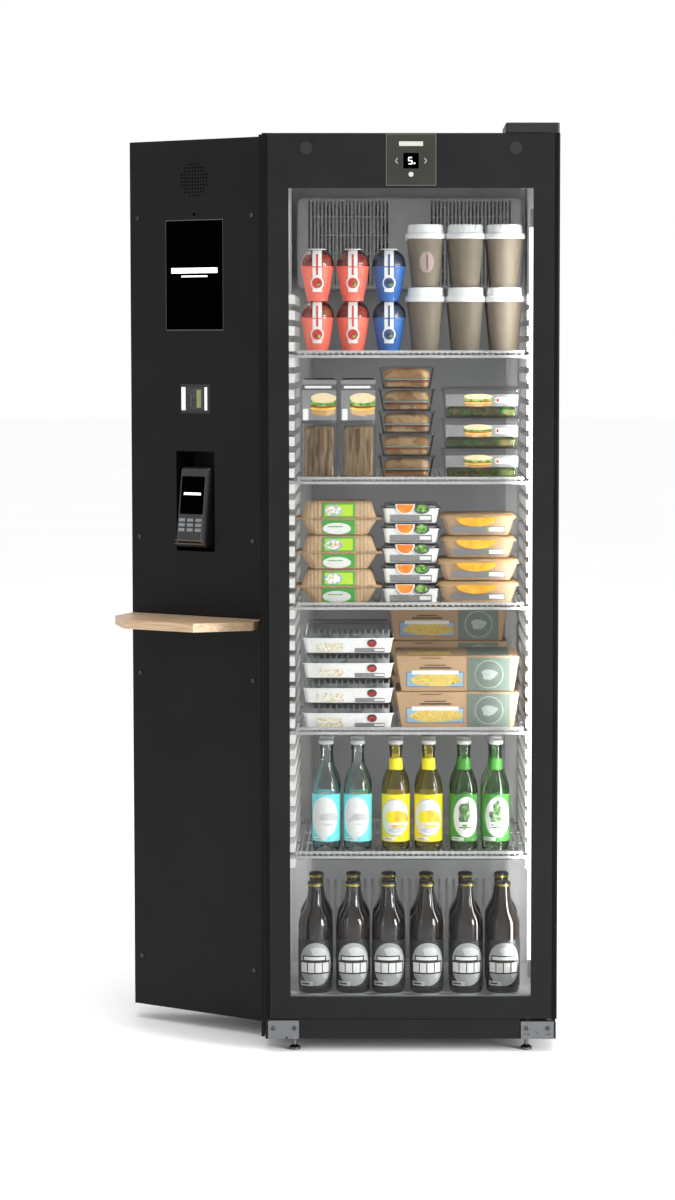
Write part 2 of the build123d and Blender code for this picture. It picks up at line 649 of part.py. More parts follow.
def make_control_panel():
    """Electronics housing at the top of the door, with a sunk square display window."""
    face = FRONT - PANEL_PROUD
    body = centred(PANEL_HALF, face, FRONT + 5, PANEL_Z0, DOOR_TOP)
    body = chamfer(body.edges().group_by(Axis.Y)[0], 0.8)
    z0, z1 = DISPLAY_Z - DISPLAY_HALF, DISPLAY_Z + DISPLAY_HALF
    return body - centred(DISPLAY_HALF, face - 1, face + 0.6, z0, z1)


def make_armature_plate():
    return block(-205, -45, DOOR_BACK, CAB_FRONT - 5.5, 1826, 1855)


# ---- moving floor parts ----
def make_foot(side):
    """Levelling foot: round pad with a conical back and a threaded stem."""
    pad = Pos(0, 0, 2.5) * Cylinder(FOOT_R, 5)
    cone = Pos(0, 0, 7.5) * Cone(FOOT_R, 5, 5)
    stem = rod_z(0, 0, 9, 52, STEM_R)
    return Pos(side * FOOT_X, FOOT_Y, 0) * join([pad, cone, stem])


def make_roller(side):
    wheel = rod_x(-ROLLER_W / 2, ROLLER_W / 2, 0, 0, ROLLER_R)
    wheel = fillet(wheel.edges().filter_by(GeomType.CIRCLE), 1.5)
    wheel -= rod_x(-ROLLER_W, ROLLER_W, 0, 0, AXLE_R + PIN_FIT)
    return Pos(side * ROLLER_X, ROLLER_Y, ROLLER_R) * wheel


# ---- payment column ----
def column_prism(inset, z0, z1):
    """Plan of the column behind its face, drawn up; inset moves the side and back walls inwards."""
    right = COLUMN_RIGHT - inset
    slope = math.tan(math.radians(COLUMN_ANGLE))
    plan = [
        (COLUMN_X + inset, COLUMN_BACK - inset),
        (COLUMN_X + inset, COLUMN_Y - slope * inset - 60),
        (right, COLUMN_Y - slope * (right - COLUMN_X) - 60),
        (right, COLUMN_BACK - inset),
    ]
    before_face = on_face(block(-200, 600, -400, FACE_T + inset, z0 - 1, z1 + 1))
    return prism_z(plan, z0, z1) - before_face


def make_column_shell():
    """Folded housing, open towards the face except for a narrow flange behind the panels."""
    t = COLUMN_SHEET
    shell = column_prism(0, COLUMN_Z0, COLUMN_Z1) - column_prism(t, COLUMN_Z0 + t, COLUMN_Z1 - t)
    mouth = on_face(block(15, FACE_W - 19, 0, FACE_T + t + 1, COLUMN_Z0 + 14, COLUMN_Z1 - 14))
    shell -= mouth
    for z in FACE_SCREW_Z:
        for x in (FACE_SCREW_EDGE, FACE_W - FACE_SCREW_EDGE):
            tab = block(x - 12, x + 12, FACE_T, FACE_T + t, z - 12, z + 12)
            shell += on_face(tab - rod_y(x, 0, 20, z, SCREW_HOLE_R))
            shell -= on_face(rod_y(x, 0, 20, z, SCREW_HOLE_R))
    # cable hole low in the back wall
    return shell - rod_y(-450, COLUMN_BACK - 10, COLUMN_BACK + 10, 150, 18)


def face_panel(z0, z1):
    panel = block(0.4, FACE_W - 2.4, 0, FACE_T, z0, z1)
    for z in FACE_SCREW_Z:
        for x in (FACE_SCREW_EDGE, FACE_W - FACE_SCREW_EDGE):
            panel -= rod_y(x, -1, 10, z, SCREW_HOLE_R)
    return panel


def speaker_hole_places():
    """Square grid of small holes inside a circle, ten across and ten up."""
    places = []
    for row in range(10):
        for col in range(10):
            x = (col - 4.5) * SPEAKER_PITCH
            z = (row - 4.5) * SPEAKER_PITCH
            if math.hypot(x, z) < SPEAKER_R:
                places.append((x, z))
    return places


def make_column_upper_panel():
    panel = face_panel(BOARD_Z0 + BOARD_T + 0.5, COLUMN_Z1)
    corner = panel.edges().filter_by(Axis.Y).group_by(Axis.Z)[-1].sort_by(Axis.X)[0]
    panel = chamfer(corner, 5)
    panel -= block(FACE_MID - SCREEN_W / 2, FACE_MID + SCREEN_W / 2, -1, 5, SCREEN_Z0, SCREEN_Z1)
    panel -= block(FACE_MID - READER_W / 2, FACE_MID + READER_W / 2, -1, 5, READER_Z0, READER_Z1)
    panel -= block(FACE_MID - RECESS_W / 2, FACE_MID + RECESS_W / 2, -1, 5, RECESS_Z0, RECESS_Z1)
    panel -= rod_y(FACE_MID, -1, 10, SENSOR_Z, 3.5)
    holes = [rod_y(FACE_MID + x, -1, 10, SPEAKER_Z + z, SPEAKER_HOLE_R) for x, z in speaker_hole_places()]
    return on_face(panel.cut(*holes))


def make_column_lower_panel():
    return on_face(face_panel(COLUMN_Z0, BOARD_Z0 - 0.5))


def make_wood_shelf():
    """Solid wood board held between the two face panels, with long cut corners."""
    outline = [
        (1, 0), (26, -91), (107, -163), (281, -156), (359, -52), (354, -28), (336, 0),
        (FACE_W - 26, 0), (FACE_W - 26, 24), (22, 24), (22, 0),
    ]
    board = prism_z(outline, BOARD_Z0, BOARD_Z0 + BOARD_T)
    soft = board.edges().filter_by(Axis.Z).filter_by(lambda e: e.center().X > 350)
    return on_face(fillet(soft, 9))


def make_touchscreen():
    half = SCREEN_W / 2 - 0.4
    glass = block(FACE_MID - half, FACE_MID + half, 0.6, 6, SCREEN_Z0 + 0.4, SCREEN_Z1 - 0.4)
    body = block(FACE_MID - 84, FACE_MID + 84, FACE_T + 0.1, 38, SCREEN_Z0 - 8, SCREEN_Z1 - 2)
    return on_face(glass + body)


def make_code_reader():
    """Scanner with a sunk window and a light slot at each side of it."""
    x0, x1 = FACE_MID - READER_W / 2 + 0.3, FACE_MID + READER_W / 2 - 0.3
    nose = block(x0, x1, 0.4, 8, READER_Z0 + 0.3, READER_Z1 - 0.3)
    body = block(x0 - 6, x1 + 6, FACE_T + 0.1, 60, READER_Z0 - 6, READER_Z1 + 6)
    reader = nose + body
    reader -= block(FACE_MID - 24, FACE_MID + 24, -1, 6, READER_Z0 + 6, READER_Z1 - 6)
    for x in (-32, 32):
        reader -= block(FACE_MID + x - 4, FACE_MID + x + 4, -1, 4, READER_Z0 + 6.5, READER_Z1 - 6.5)
    return on_face(reader)


def make_speaker():
    magnet = rod_y(FACE_MID, 18, 32, SPEAKER_Z, 22)
    basket = rod_y(FACE_MID, FACE_T + 0.2, 9, SPEAKER_Z, SPEAKER_R + 6)
    cone = rod_y(FACE_MID, 8, 20, SPEAKER_Z, 30)
    return on_face(join([basket, cone, magnet]) - rod_y(FACE_MID, -1, 6, SPEAKER_Z, SPEAKER_R + 2))


def make_terminal_recess():
    t = 2.0
    x0, x1 = FACE_MID - RECESS_W / 2, FACE_MID + RECESS_W / 2
    y0 = FACE_T + 0.1
    y1 = FACE_T + RECESS_DEPTH
    box = block(x0 - t, x1 + t, y0, y1 + t, RECESS_Z0 - t, RECESS_Z1 + t)
    return on_face(box - block(x0, x1, y0 - 1, y1, RECESS_Z0, RECESS_Z1))


def key_centres():
    """Key places on the terminal's face, row by row from the top left."""
    return [(col * KEY_PITCH_X, KEY_Z0 + row * KEY_PITCH_Z) for row in (2, 1, 0) for col in (-1, 0, 1)]


def make_card_terminal():
    """Card terminal: rounded body, sunk screen, key pockets, card slot and a bracket to the recess."""
    w, h = TERMINAL_W / 2, TERMINAL_H
    body = block(-w, w, 0, TERMINAL_T, 0, h)
    body = fillet(body.edges().filter_by(Axis.Y), 6)
    top_edge = body.edges().filter_by(Axis.X).group_by(Axis.Z)[-1].sort_by(Axis.Y)[0]
    body = fillet(top_edge, 14)
    body -= block(-31, 31, -1, 0.7, 67, 148)
    body -= block(-30, 30, -1, 22, 8, 10.4)
    for x, z in key_centres():
        reach, rise = KEY_W / 2 + KEY_GAP, KEY_H / 2 + KEY_GAP
        body -= block(x - reach, x + reach, -1, KEY_T, z - rise, z + rise)
    z0, z1 = TERMINAL_Z + 60, TERMINAL_Z + 120
    bracket = block(FACE_MID - 20, FACE_MID + 20, 12, FACE_T + RECESS_DEPTH, z0, z1)
    return on_terminal(body) + on_face(bracket)


def make_key(centre):
    x, z = centre
    key = block(x - KEY_W / 2, x + KEY_W / 2, -KEY_PROUD, KEY_T - KEY_PROUD, z - KEY_H / 2, z + KEY_H / 2)
    key = fillet(key.edges().filter_by(Axis.Y), 1.6)
    return on_terminal(fillet(key.edges().group_by(Axis.Y)[0], 0.5))


def make_controller_box():
    """Electronics box with cooling fins and cable sockets."""
    box = block(80, 260, 15, 70, 400, 650)
    box = fillet(box.edges().filter_by(Axis.Y), 4)
    for i in range(14):
        box -= block(92 + 12 * i, 97 + 12 * i, 64, 71, 420, 630)
    mounts = [block(70, 270, FACE_T + 0.1 + 8, 18, z, z + 12) for z in (410, 628)]
    return on_face(join([box] + mounts))


def make_column_rail():
    """Channel screwed to the fridge's side; three pads carry the column."""
    t = 2.0
    y0, y1 = FRONT + 27, 46
    web = block(-HALF_W - t, -HALF_W, y0, y1, PLINTH_Z0, BODY_TOP - 2)
    flanges = [block(RAIL_X, -HALF_W, y, y + t, PLINTH_Z0, BODY_TOP - 2) for y in (y0, y1 - t)]
    pads = [block(COLUMN_RIGHT, -HALF_W - 1, -110, 10, z, z + 80) for z in (160, 900, 1640)]
    return join([web] + flanges + pads)


# ---- all nodes ----
def build():
    os.makedirs("parts", exist_ok=True)
    save(make_outer_shell(), "outer_shell")
    save(make_insulation(), "insulation")
    save(make_liner(), "liner")
    save(make_back_panel(), "back_panel")
    save(make_rear_grille(), "rear_grille")
    save(make_power_inlet(), "power_inlet")
    save(make_base_frame(), "base_frame")
    save(make_lower_hinge(), "lower_hinge")
    save(make_base_cover_plate(), "base_cover_plate")
    save(make_upper_hinge(), "upper_hinge")
    save(make_hinge_cover(), "hinge_cover")
    save(make_lock_magnet(), "lock_magnet")
    save(make_panel_screws(), "panel_screws")
    save(make_fan_cover(), "fan_cover")
    save(make_evaporator(), "evaporator")
    save(make_evaporator_fan(), "evaporator_fan")
    save(make_rear_air_panel(), "rear_air_panel")
    save(make_compressor(), "compressor")
    save(make_condenser(), "condenser")
    save(make_condenser_fan_frame(), "condenser_fan_frame")
    save(make_condenser_fan(), "condenser_fan")
    for index in range(SHELF_COUNT):
        save(make_shelf(index), f"wire_shelf_{index + 1}")
    save(make_led_housing(), "led_housing")
    save(make_led_diffuser(), "led_diffuser")
    save(make_door_frame(), "door_frame")
    save(make_door_edge_profiles(), "door_edge_profiles")
    save(pane(FRONT + LIP_T), "door_glass_outer")
    save(pane(FRONT + LIP_T + PANE_T + PANE_GAP), "door_glass_inner")
    save(make_glass_spacer(), "glass_spacer")
    save(make_door_gasket(), "door_gasket")
    save(make_control_panel(), "control_panel")
    save(make_armature_plate(), "armature_plate")
    for side, name in ((-1, "left"), (1, "right")):
        save(make_foot(side), f"foot_{name}")
        save(make_roller(side), f"roller_{name}")
    save(make_column_rail(), "column_rail")
    save(make_column_shell(), "column_shell")
    save(make_column_upper_panel(), "column_upper_panel")
    save(make_column_lower_panel(), "column_lower_panel")
    save(make_wood_shelf(), "wood_shelf")
    save(make_touchscreen(), "touchscreen")
    save(make_code_reader(), "code_reader")
    save(make_speaker(), "speaker")
    save(make_terminal_recess(), "terminal_recess")
    save(make_card_terminal(), "card_terminal")
    for number, centre in enumerate(key_centres(), start=1):
        save(make_key(centre), f"key_{number}")
    save(make_controller_box(), "controller_box")


build()
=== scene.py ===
import math
import random

import bmesh
import bpy
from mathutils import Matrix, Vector


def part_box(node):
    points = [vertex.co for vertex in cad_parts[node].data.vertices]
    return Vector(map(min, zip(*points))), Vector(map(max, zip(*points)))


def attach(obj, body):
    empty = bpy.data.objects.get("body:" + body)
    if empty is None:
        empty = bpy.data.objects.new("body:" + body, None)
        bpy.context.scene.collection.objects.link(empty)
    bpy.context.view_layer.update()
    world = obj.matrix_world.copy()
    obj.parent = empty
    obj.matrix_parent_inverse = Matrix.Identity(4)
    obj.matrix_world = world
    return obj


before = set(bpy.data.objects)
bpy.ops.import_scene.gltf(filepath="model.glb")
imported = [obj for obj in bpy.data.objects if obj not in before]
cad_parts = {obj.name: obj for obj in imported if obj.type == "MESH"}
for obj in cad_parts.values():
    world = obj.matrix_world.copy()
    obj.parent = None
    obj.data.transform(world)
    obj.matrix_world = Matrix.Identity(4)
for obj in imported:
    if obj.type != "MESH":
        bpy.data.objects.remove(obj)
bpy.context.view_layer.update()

MM = 0.001

# ---- places, all read from the frame ----
LINER_LO, LINER_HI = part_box("liner")
DOOR_LO, DOOR_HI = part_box("door_frame")
SCREEN_LO, SCREEN_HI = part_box("touchscreen")
MID_X = (LINER_LO.x + LINER_HI.x) / 2
FRONT_Y = DOOR_LO.y

# ---- sizes of the CAD parts under the trim and the stock, in millimetres about the fridge's centre line ----
FACE_ANGLE = math.radians(33.85)  # the column's face against the door's plane
COLUMN_X = -590.0  # the left edge of the column's face
COLUMN_Y = 13.5
FACE_MID = 169.7  # the middle of the face, from that edge
TERMINAL_OUT = 24.0  # the card terminal's foot, in front of the face
TERMINAL_TILT = math.radians(7)
TERMINAL_Z = 1022.0
PANEL_PROUD = 1.5  # the control panel, in front of the door
PANEL_Z0 = 1757.8
PANEL_Z1 = DOOR_HI.z / MM
DISPLAY_Z = 1808.0
CAP_X = 209.5
CAP_Z = 1833.7
READER_Z0 = 1299.5
READER_Z1 = 1360.0
AIR_PANEL_GAP = 11.8  # from the cabinet's floor up to the rear air panel
SHELF_LIP = 4.3  # from a shelf's wires up to its lip


def hue(code):
    """Linear colour of a six-digit hexadecimal display colour."""
    parts = [int(code[i:i + 2], 16) / 255 for i in (0, 2, 4)]
    return tuple(p / 12.92 if p <= 0.04045 else ((p + 0.055) / 1.055) ** 2.4 for p in parts)


# ---- materials ----
class Look:
    """One node material. Each method adds one kind of detail to it."""

    def __init__(self, name, colour, rough, metal=0.0, **sockets):
        self.mat = bpy.data.materials.new(name)
        self.mat.use_nodes = True
        self.tree = self.mat.node_tree
        self.shader = self.tree.nodes["Principled BSDF"]
        self.shader.inputs["Base Color"].default_value = (*hue(colour), 1)
        self.shader.inputs["Roughness"].default_value = rough
        self.shader.inputs["Metallic"].default_value = metal
        for key, value in sockets.items():
            self.shader.inputs[key.replace("_", " ")].default_value = value
        self.place = None

    def node(self, kind, **values):
        made = self.tree.nodes.new(kind)
        for key, value in values.items():
            setattr(made, key, value)
        return made

    def link(self, a, b):
        self.tree.links.new(a, b)

    def spot(self, stretch=(1, 1, 1)):
        """Object coordinates, stretched along the axes."""
        if self.place is None:
            self.place = self.node("ShaderNodeTexCoord").outputs["Object"]
        mapping = self.node("ShaderNodeMapping")
        mapping.inputs["Scale"].default_value = stretch
        self.link(self.place, mapping.inputs["Vector"])
        return mapping.outputs["Vector"]

    def noise(self, scale, detail=3.0, stretch=(1, 1, 1), distortion=0.0):
        tex = self.node("ShaderNodeTexNoise")
        tex.inputs["Scale"].default_value = scale
        tex.inputs["Detail"].default_value = detail
        tex.inputs["Distortion"].default_value = distortion
        self.link(self.spot(stretch), tex.inputs["Vector"])
        return tex.outputs["Fac"]

    def cells(self, scale, stretch=(1, 1, 1)):
        tex = self.node("ShaderNodeTexVoronoi")
        tex.inputs["Scale"].default_value = scale
        self.link(self.spot(stretch), tex.inputs["Vector"])
        return tex

    def ramp(self, fac, stops):
        """Colours along a value; stops are (position, colour) pairs."""
        made = self.node("ShaderNodeValToRGB")
        points = made.color_ramp.elements
        while len(points) < len(stops):
            points.new(0.5)
        for point, (at, colour) in zip(points, stops):
            point.position = at
            point.color = (*hue(colour), 1)
        self.link(fac, made.inputs["Fac"])
        return made.outputs["Color"]

    def tint(self, fac, stops):
        """Base colour from a value."""
        self.link(self.ramp(fac, stops), self.shader.inputs["Base Color"])

    def span(self, fac, low, high):
        """A value from 0 to 1, stretched to low to high."""
        made = self.node("ShaderNodeMapRange")
        made.inputs["To Min"].default_value = low
        made.inputs["To Max"].default_value = high
        self.link(fac, made.inputs["Value"])
        return made.outputs["Result"]

    def gloss(self, fac, low, high):
        """Roughness from a value."""
        self.link(self.span(fac, low, high), self.shader.inputs["Roughness"])

    def bump(self, fac, strength, depth=0.0005):
        made = self.node("ShaderNodeBump")
        made.inputs["Strength"].default_value = strength
        made.inputs["Distance"].default_value = depth
        self.link(fac, made.inputs["Height"])
        before = self.shader.inputs["Normal"].links
        if before:
            self.link(before[0].from_socket, made.inputs["Normal"])
        self.link(made.outputs["Normal"], self.shader.inputs["Normal"])

    def see_through(self, mirror, rough, ior):
        """Lets light straight through under a fresnel mirror. Gives the socket that tints what passes."""
        clear = self.node("ShaderNodeBsdfTransparent")
        shine = self.node("ShaderNodeBsdfGlossy")
        shine.inputs["Color"].default_value = (mirror, mirror, mirror, 1)
        self.link(rough, shine.inputs["Roughness"])
        edge = self.node("ShaderNodeFresnel")
        edge.inputs["IOR"].default_value = ior
        mixed = self.node("ShaderNodeMixShader")
        self.link(edge.outputs["Fac"], mixed.inputs["Fac"])
        self.link(clear.outputs["BSDF"], mixed.inputs[1])
        self.link(shine.outputs["BSDF"], mixed.inputs[2])
        self.link(mixed.outputs["Shader"], self.tree.nodes["Material Output"].inputs["Surface"])
        return clear.inputs["Color"]


def coated(name, colour, lighter, rough=0.42, grain=900, mirror=0.5):
    """Powder-coated or painted sheet: faint cloudiness, fine orange peel, uneven gloss."""
    look = Look(name, colour, rough, Specular_IOR_Level=mirror)
    look.tint(look.noise(7, 4), [(0.3, colour), (0.72, lighter)])
    look.gloss(look.noise(60, 2), rough - 0.05, rough + 0.07)
    look.bump(look.noise(grain, 1), 0.12, 0.0002)
    return look.mat


def moulded(name, colour, lighter, rough=0.45, grain=1400, **sockets):
    """Injection-moulded plastic with a fine spark-erosion grain."""
    look = Look(name, colour, rough, **sockets)
    look.tint(look.noise(12, 3), [(0.3, colour), (0.7, lighter)])
    look.gloss(look.noise(300, 2), rough - 0.06, rough + 0.08)
    look.bump(look.noise(grain, 2), 0.15, 0.00015)
    return look.mat


def metal_sheet(name, colour, lighter, rough=0.32, along=(1, 1, 60), metal=1.0):
    """Rolled or brushed metal with fine lines across the stretched axis."""
    look = Look(name, colour, rough, metal)
    lines = look.noise(40, 4, along)
    look.tint(lines, [(0.3, colour), (0.7, lighter)])
    look.gloss(lines, rough - 0.08, rough + 0.12)
    look.bump(lines, 0.06, 0.0002)
    return look.mat


def pane_glass(name):
    """Clear pane: mostly see-through, with a faint mirror and a very light smear."""
    look = Look(name, "dfe8e6", 0.02)
    smear = look.span(look.noise(5, 3), 0.015, 0.05)
    look.see_through(0.95, smear, 1.12).default_value = (0.925, 0.928, 0.927, 1)
    return look.mat


def glowing(name, colour, strength):
    """Frosted lens that gives light, a little weaker where the frosting is thicker."""
    look = Look(name, colour, 0.5)
    shade = look.ramp(look.noise(30, 2, (1, 1, 0.2)), [(0.2, colour), (0.8, "ffffff")])
    look.link(shade, look.shader.inputs["Emission Color"])
    look.shader.inputs["Emission Strength"].default_value = strength
    return look.mat


def wood_look(name):
    """Light birch board: long grain lines, soft figure, satin lacquer."""
    look = Look(name, "ab9071", 0.42)
    turn = look.node("ShaderNodeMapping")
    turn.inputs["Rotation"].default_value = (0, 0, FACE_ANGLE)
    look.link(look.node("ShaderNodeTexCoord").outputs["Object"], turn.inputs["Vector"])
    look.place = turn.outputs["Vector"]
    figure = look.noise(9, 5, (1.2, 14, 40), 0.6)
    colour = look.ramp(figure, [(0.25, "8a6f52"), (0.5, "ab9071"), (0.75, "bea88c")])
    look.link(colour, look.shader.inputs["Base Color"])
    pores = look.noise(60, 3, (0.6, 14, 30))
    look.gloss(pores, 0.34, 0.56)
    look.bump(pores, 0.2, 0.0003)
    return look.mat


def make_frame_looks():
    """A material for every CAD node."""
    parts = {
        coated("door_coat", "101010", "151515", 0.4, mirror=0.13):
            ["door_frame", "base_frame", "rear_grille"],
        coated("profile_coat", "0a0a0a", "0e0e0e", 0.34, mirror=0.05): ["door_edge_profiles"],
        coated("column_coat", "111111", "151515", 0.36, mirror=0.11):
            ["column_shell", "column_upper_panel", "column_lower_panel", "column_rail"],
        coated("case_coat", "151515", "1b1b1b", 0.42, mirror=0.2): ["outer_shell"],
        coated("recess_coat", "0c0c0c", "121212", 0.45, mirror=0.1): ["terminal_recess"],
        coated("wire_coat", "a2a2a1", "b4b4b3", 0.3): [f"wire_shelf_{i}" for i in range(1, 6)],
        coated("air_panel_coat", "96979a", "a2a3a5", 0.4): ["rear_air_panel"],
        coated("compressor_coat", "0e0e0f", "161617", 0.3, 300): ["compressor"],
        metal_sheet("zinc_sheet", "8f9294", "b4b7b9", 0.38):
            ["back_panel", "upper_hinge", "lock_magnet", "armature_plate", "condenser_fan_frame"],
        metal_sheet("plate_steel", "55575a", "66686a", 0.42, (60, 1, 1), 0.6):
            ["lower_hinge", "base_cover_plate"],
        metal_sheet("screw_metal", "3a3b3d", "55575a", 0.3, (1, 1, 1)): ["panel_screws"],
        metal_sheet("foot_metal", "4a4c4e", "707274", 0.3): ["foot_left", "foot_right"],
        metal_sheet("spacer_metal", "9da1a4", "c4c8ca", 0.3): ["glass_spacer", "controller_box"],
        metal_sheet("fin_metal", "b0b3b5", "d0d2d3", 0.35): ["evaporator", "condenser"],
        moulded("liner_plastic", "dcdcdb", "e6e6e5", 0.36): ["liner"],
        moulded("cover_plastic", "8f9090", "9c9d9d", 0.4): ["fan_cover"],
        moulded("black_plastic", "161616", "1c1c1c", Specular_IOR_Level=0.2):
            ["hinge_cover", "power_inlet", "speaker", "evaporator_fan", "condenser_fan"],
        moulded("panel_plastic", "1f1e1a", "25241f", 0.3, Specular_IOR_Level=0.3): ["control_panel"],
        moulded("roller_plastic", "2b2b2c", "39393a", 0.55): ["roller_left", "roller_right"],
        moulded("gasket_rubber", "0d0d0e", "141415", 0.62, 600): ["door_gasket"],
        moulded("foam", "cbb98a", "dac99c", 0.85, 300): ["insulation"],
        moulded("lamp_ends", "b4bcc0", "c6ccd0", 0.4): ["led_housing"],
        moulded("screen_glass", "060607", "08080a", 0.08, 40, Coat_Weight=0.6): ["touchscreen"],
        moulded("reader_plastic", "0c0c0d", "131314", 0.3): ["code_reader"],
        moulded("terminal_plastic", "121315", "1a1b1e", 0.34): ["card_terminal"],
        moulded("key_plastic", "66696c", "7a7d80", 0.42): [f"key_{i}" for i in range(1, 10)],
        glowing("lamp_lens", "f4f6f4", 2.2): ["led_diffuser"],
        pane_glass("door_pane"): ["door_glass_outer", "door_glass_inner"],
        wood_look("birch_board"): ["wood_shelf"],
    }
    for material, nodes in parts.items():
        for name in nodes:
            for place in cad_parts[name].material_slots:
                place.material = material
    dressed = {name for nodes in parts.values() for name in nodes}
    missing = set(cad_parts) - dressed
    assert not missing, missing


# ---- mesh tools; piece code works in millimetres about the fridge's centre line ----
BURIED = -0.1  # a patch starts this far under the surface it lies on
SHARP_ANGLE = math.radians(38)


class Piece:
    """Collects closed solids, each with its own material, into one object."""

    def __init__(self, name, palette=None):
        self.name = name
        self.palette = palette or {}
        self.shape = bmesh.new()
        self.looks = []

    def number(self, look):
        """Slot of a material, which is given itself or by its name in the palette."""
        look = self.palette.get(look, look)
        if look not in self.looks:
            self.looks.append(look)
        return self.looks.index(look)

    def skin(self, rings, look):
        """Joins rings of points from one end to the other and caps both ends."""
        made = [[self.shape.verts.new(p) for p in ring] for ring in rings]
        faces = [self.shape.faces.new(list(reversed(made[0]))), self.shape.faces.new(made[-1])]
        for low, high in zip(made, made[1:]):
            for i in range(len(low)):
                k = (i + 1) % len(low)
                faces.append(self.shape.faces.new((low[i], low[k], high[k], high[i])))
        for face in faces:
            face.material_index = self.number(look)
            face.smooth = True

    def turned(self, profile, at, look, steps=44):
        """Solid of revolution from (radius, height) pairs, standing at a place."""
        rings = []
        for r, z in profile:
            turn = [2 * math.pi * i / steps for i in range(steps)]
            rings.append([(at[0] + r * math.sin(a), at[1] - r * math.cos(a), at[2] + z) for a in turn])
        self.skin(rings, look)

    def tub(self, levels, at, look, corner=8):
        """Rounded box from (half width, half depth, height) levels, standing at a place."""
        self.skin([oval(w, d, min(corner, w, d), z, at) for w, d, z in levels], look)

    def patch(self, u0, u1, v0, v1, surface, look, lift=0.35, across=8, up=6):
        """Thin closed rectangle laid on a surface."""
        us = [u0 + (u1 - u0) * i / across for i in range(across + 1)]
        vs = [v0 + (v1 - v0) * i / up for i in range(up + 1)]
        self.slab([[surface(u, v, lift) for u in us] for v in vs],
                  [[surface(u, v, BURIED) for u in us] for v in vs], look)

    def slab(self, front, back, look):
        """Closed plate between two grids of points."""
        verts = [[[self.shape.verts.new(p) for p in row] for row in side] for side in (front, back)]
        rows, cols = len(front), len(front[0])
        faces = []
        for side, flip in ((verts[0], False), (verts[1], True)):
            for i in range(rows - 1):
                for j in range(cols - 1):
                    quad = [side[i][j], side[i][j + 1], side[i + 1][j + 1], side[i + 1][j]]
                    faces.append(quad[::-1] if flip else quad)
        rim = [(0, j) for j in range(cols)] + [(i, cols - 1) for i in range(1, rows)]
        rim += [(rows - 1, j) for j in range(cols - 2, -1, -1)] + [(i, 0) for i in range(rows - 2, 0, -1)]
        for (a, b), (c, d) in zip(rim, rim[1:] + rim[:1]):
            faces.append([verts[0][a][b], verts[1][a][b], verts[1][c][d], verts[0][c][d]])
        for quad in faces:
            face = self.shape.faces.new(quad)
            face.material_index = self.number(look)
            face.smooth = True

    def spot(self, outline, at, surface, look, lift=0.5, rings=3):
        """Thin closed patch with a star-shaped outline about its own middle."""
        top = [[surface(at[0] + u * k / rings, at[1] + v * k / rings, lift) for u, v in outline]
               for k in range(1, rings + 1)]
        base = [surface(at[0] + u, at[1] + v, BURIED) for u, v in outline]
        self.skin([base] + top[::-1], look)

    def finish(self, body):
        """Makes the object, which rides on a body."""
        mesh = bpy.data.meshes.new(self.name)
        bmesh.ops.recalc_face_normals(self.shape, faces=self.shape.faces)
        for vert in self.shape.verts:
            vert.co = Vector((vert.co.x * MM + MID_X, vert.co.y * MM, vert.co.z * MM))
        self.shape.to_mesh(mesh)
        self.shape.free()
        mesh.set_sharp_from_angle(angle=SHARP_ANGLE)
        for look in self.looks:
            mesh.materials.append(look)
        made = bpy.data.objects.new(self.name, mesh)
        bpy.context.collection.objects.link(made)
        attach(made, body)


def oval(half_x, half_y, corner, z, at):
    """Ring of a rounded rectangle."""
    steps = 4
    points = []
    for k, (sx, sy) in enumerate(((1, 1), (-1, 1), (-1, -1), (1, -1))):
        for i in range(steps + 1):
            a = math.pi / 2 * (k + i / steps)
            x = sx * (half_x - corner) + corner * math.cos(a)
            y = sy * (half_y - corner) + corner * math.sin(a)
            points.append((at[0] + x, at[1] + y, at[2] + z))
    return points


def disc(width, height, steps=28, start=0.0, sweep=360.0):
    """Outline of an ellipse, or of the part of it that the sweep covers."""
    count = steps if sweep == 360.0 else steps + 1
    turn = [math.radians(start + sweep * i / steps) for i in range(count)]
    return [(width / 2 * math.cos(a), height / 2 * math.sin(a)) for a in turn]


def blob(width, height, seed, wave=0.16):
    """Uneven round outline, for leaves and food."""
    draw = random.Random(seed)
    phases = [(n, draw.uniform(0, 6.28), draw.uniform(0.4, 1)) for n in (2, 3, 5, 7)]
    outline = []
    steps = 30
    for i in range(steps):
        a = 2 * math.pi * i / steps
        swell = 1 + wave * sum(k * math.sin(n * a + p) for n, p, k in phases) / 2
        outline.append((width / 2 * swell * math.cos(a), height / 2 * swell * math.sin(a)))
    return outline


def radius_at(profile, z):
    """Radius of a turned shape at a height."""
    for (r0, z0), (r1, z1) in zip(profile, profile[1:]):
        if z0 <= z <= z1 and z1 > z0:
            return r0 + (r1 - r0) * (z - z0) / (z1 - z0)
    return profile[-1][0]


def round_side(profile, at):
    """Front of a turned shape: across along its round, up along its height."""
    def surface(u, v, lift):
        r = radius_at(profile, v) + lift
        return (at[0] + r * math.sin(u / r), at[1] - r * math.cos(u / r), at[2] + v)
    return surface


def strap_side(profile, at):
    """As round_side, but a strip keeps its width where the shape narrows towards its top."""
    def surface(u, v, lift):
        r = radius_at(profile, v) + lift
        return (at[0] + u, at[1] - math.sqrt(max(r * r - u * u, 1.0)), at[2] + v)
    return surface


def flat_side(at, half_depth, lean=0.0):
    """Front of a box: at is the box's place, and lean is how far it comes forward per unit of height."""
    def surface(u, v, lift):
        return (at[0] + u, at[1] - half_depth - lean * v - lift, at[2] + v)
    return surface


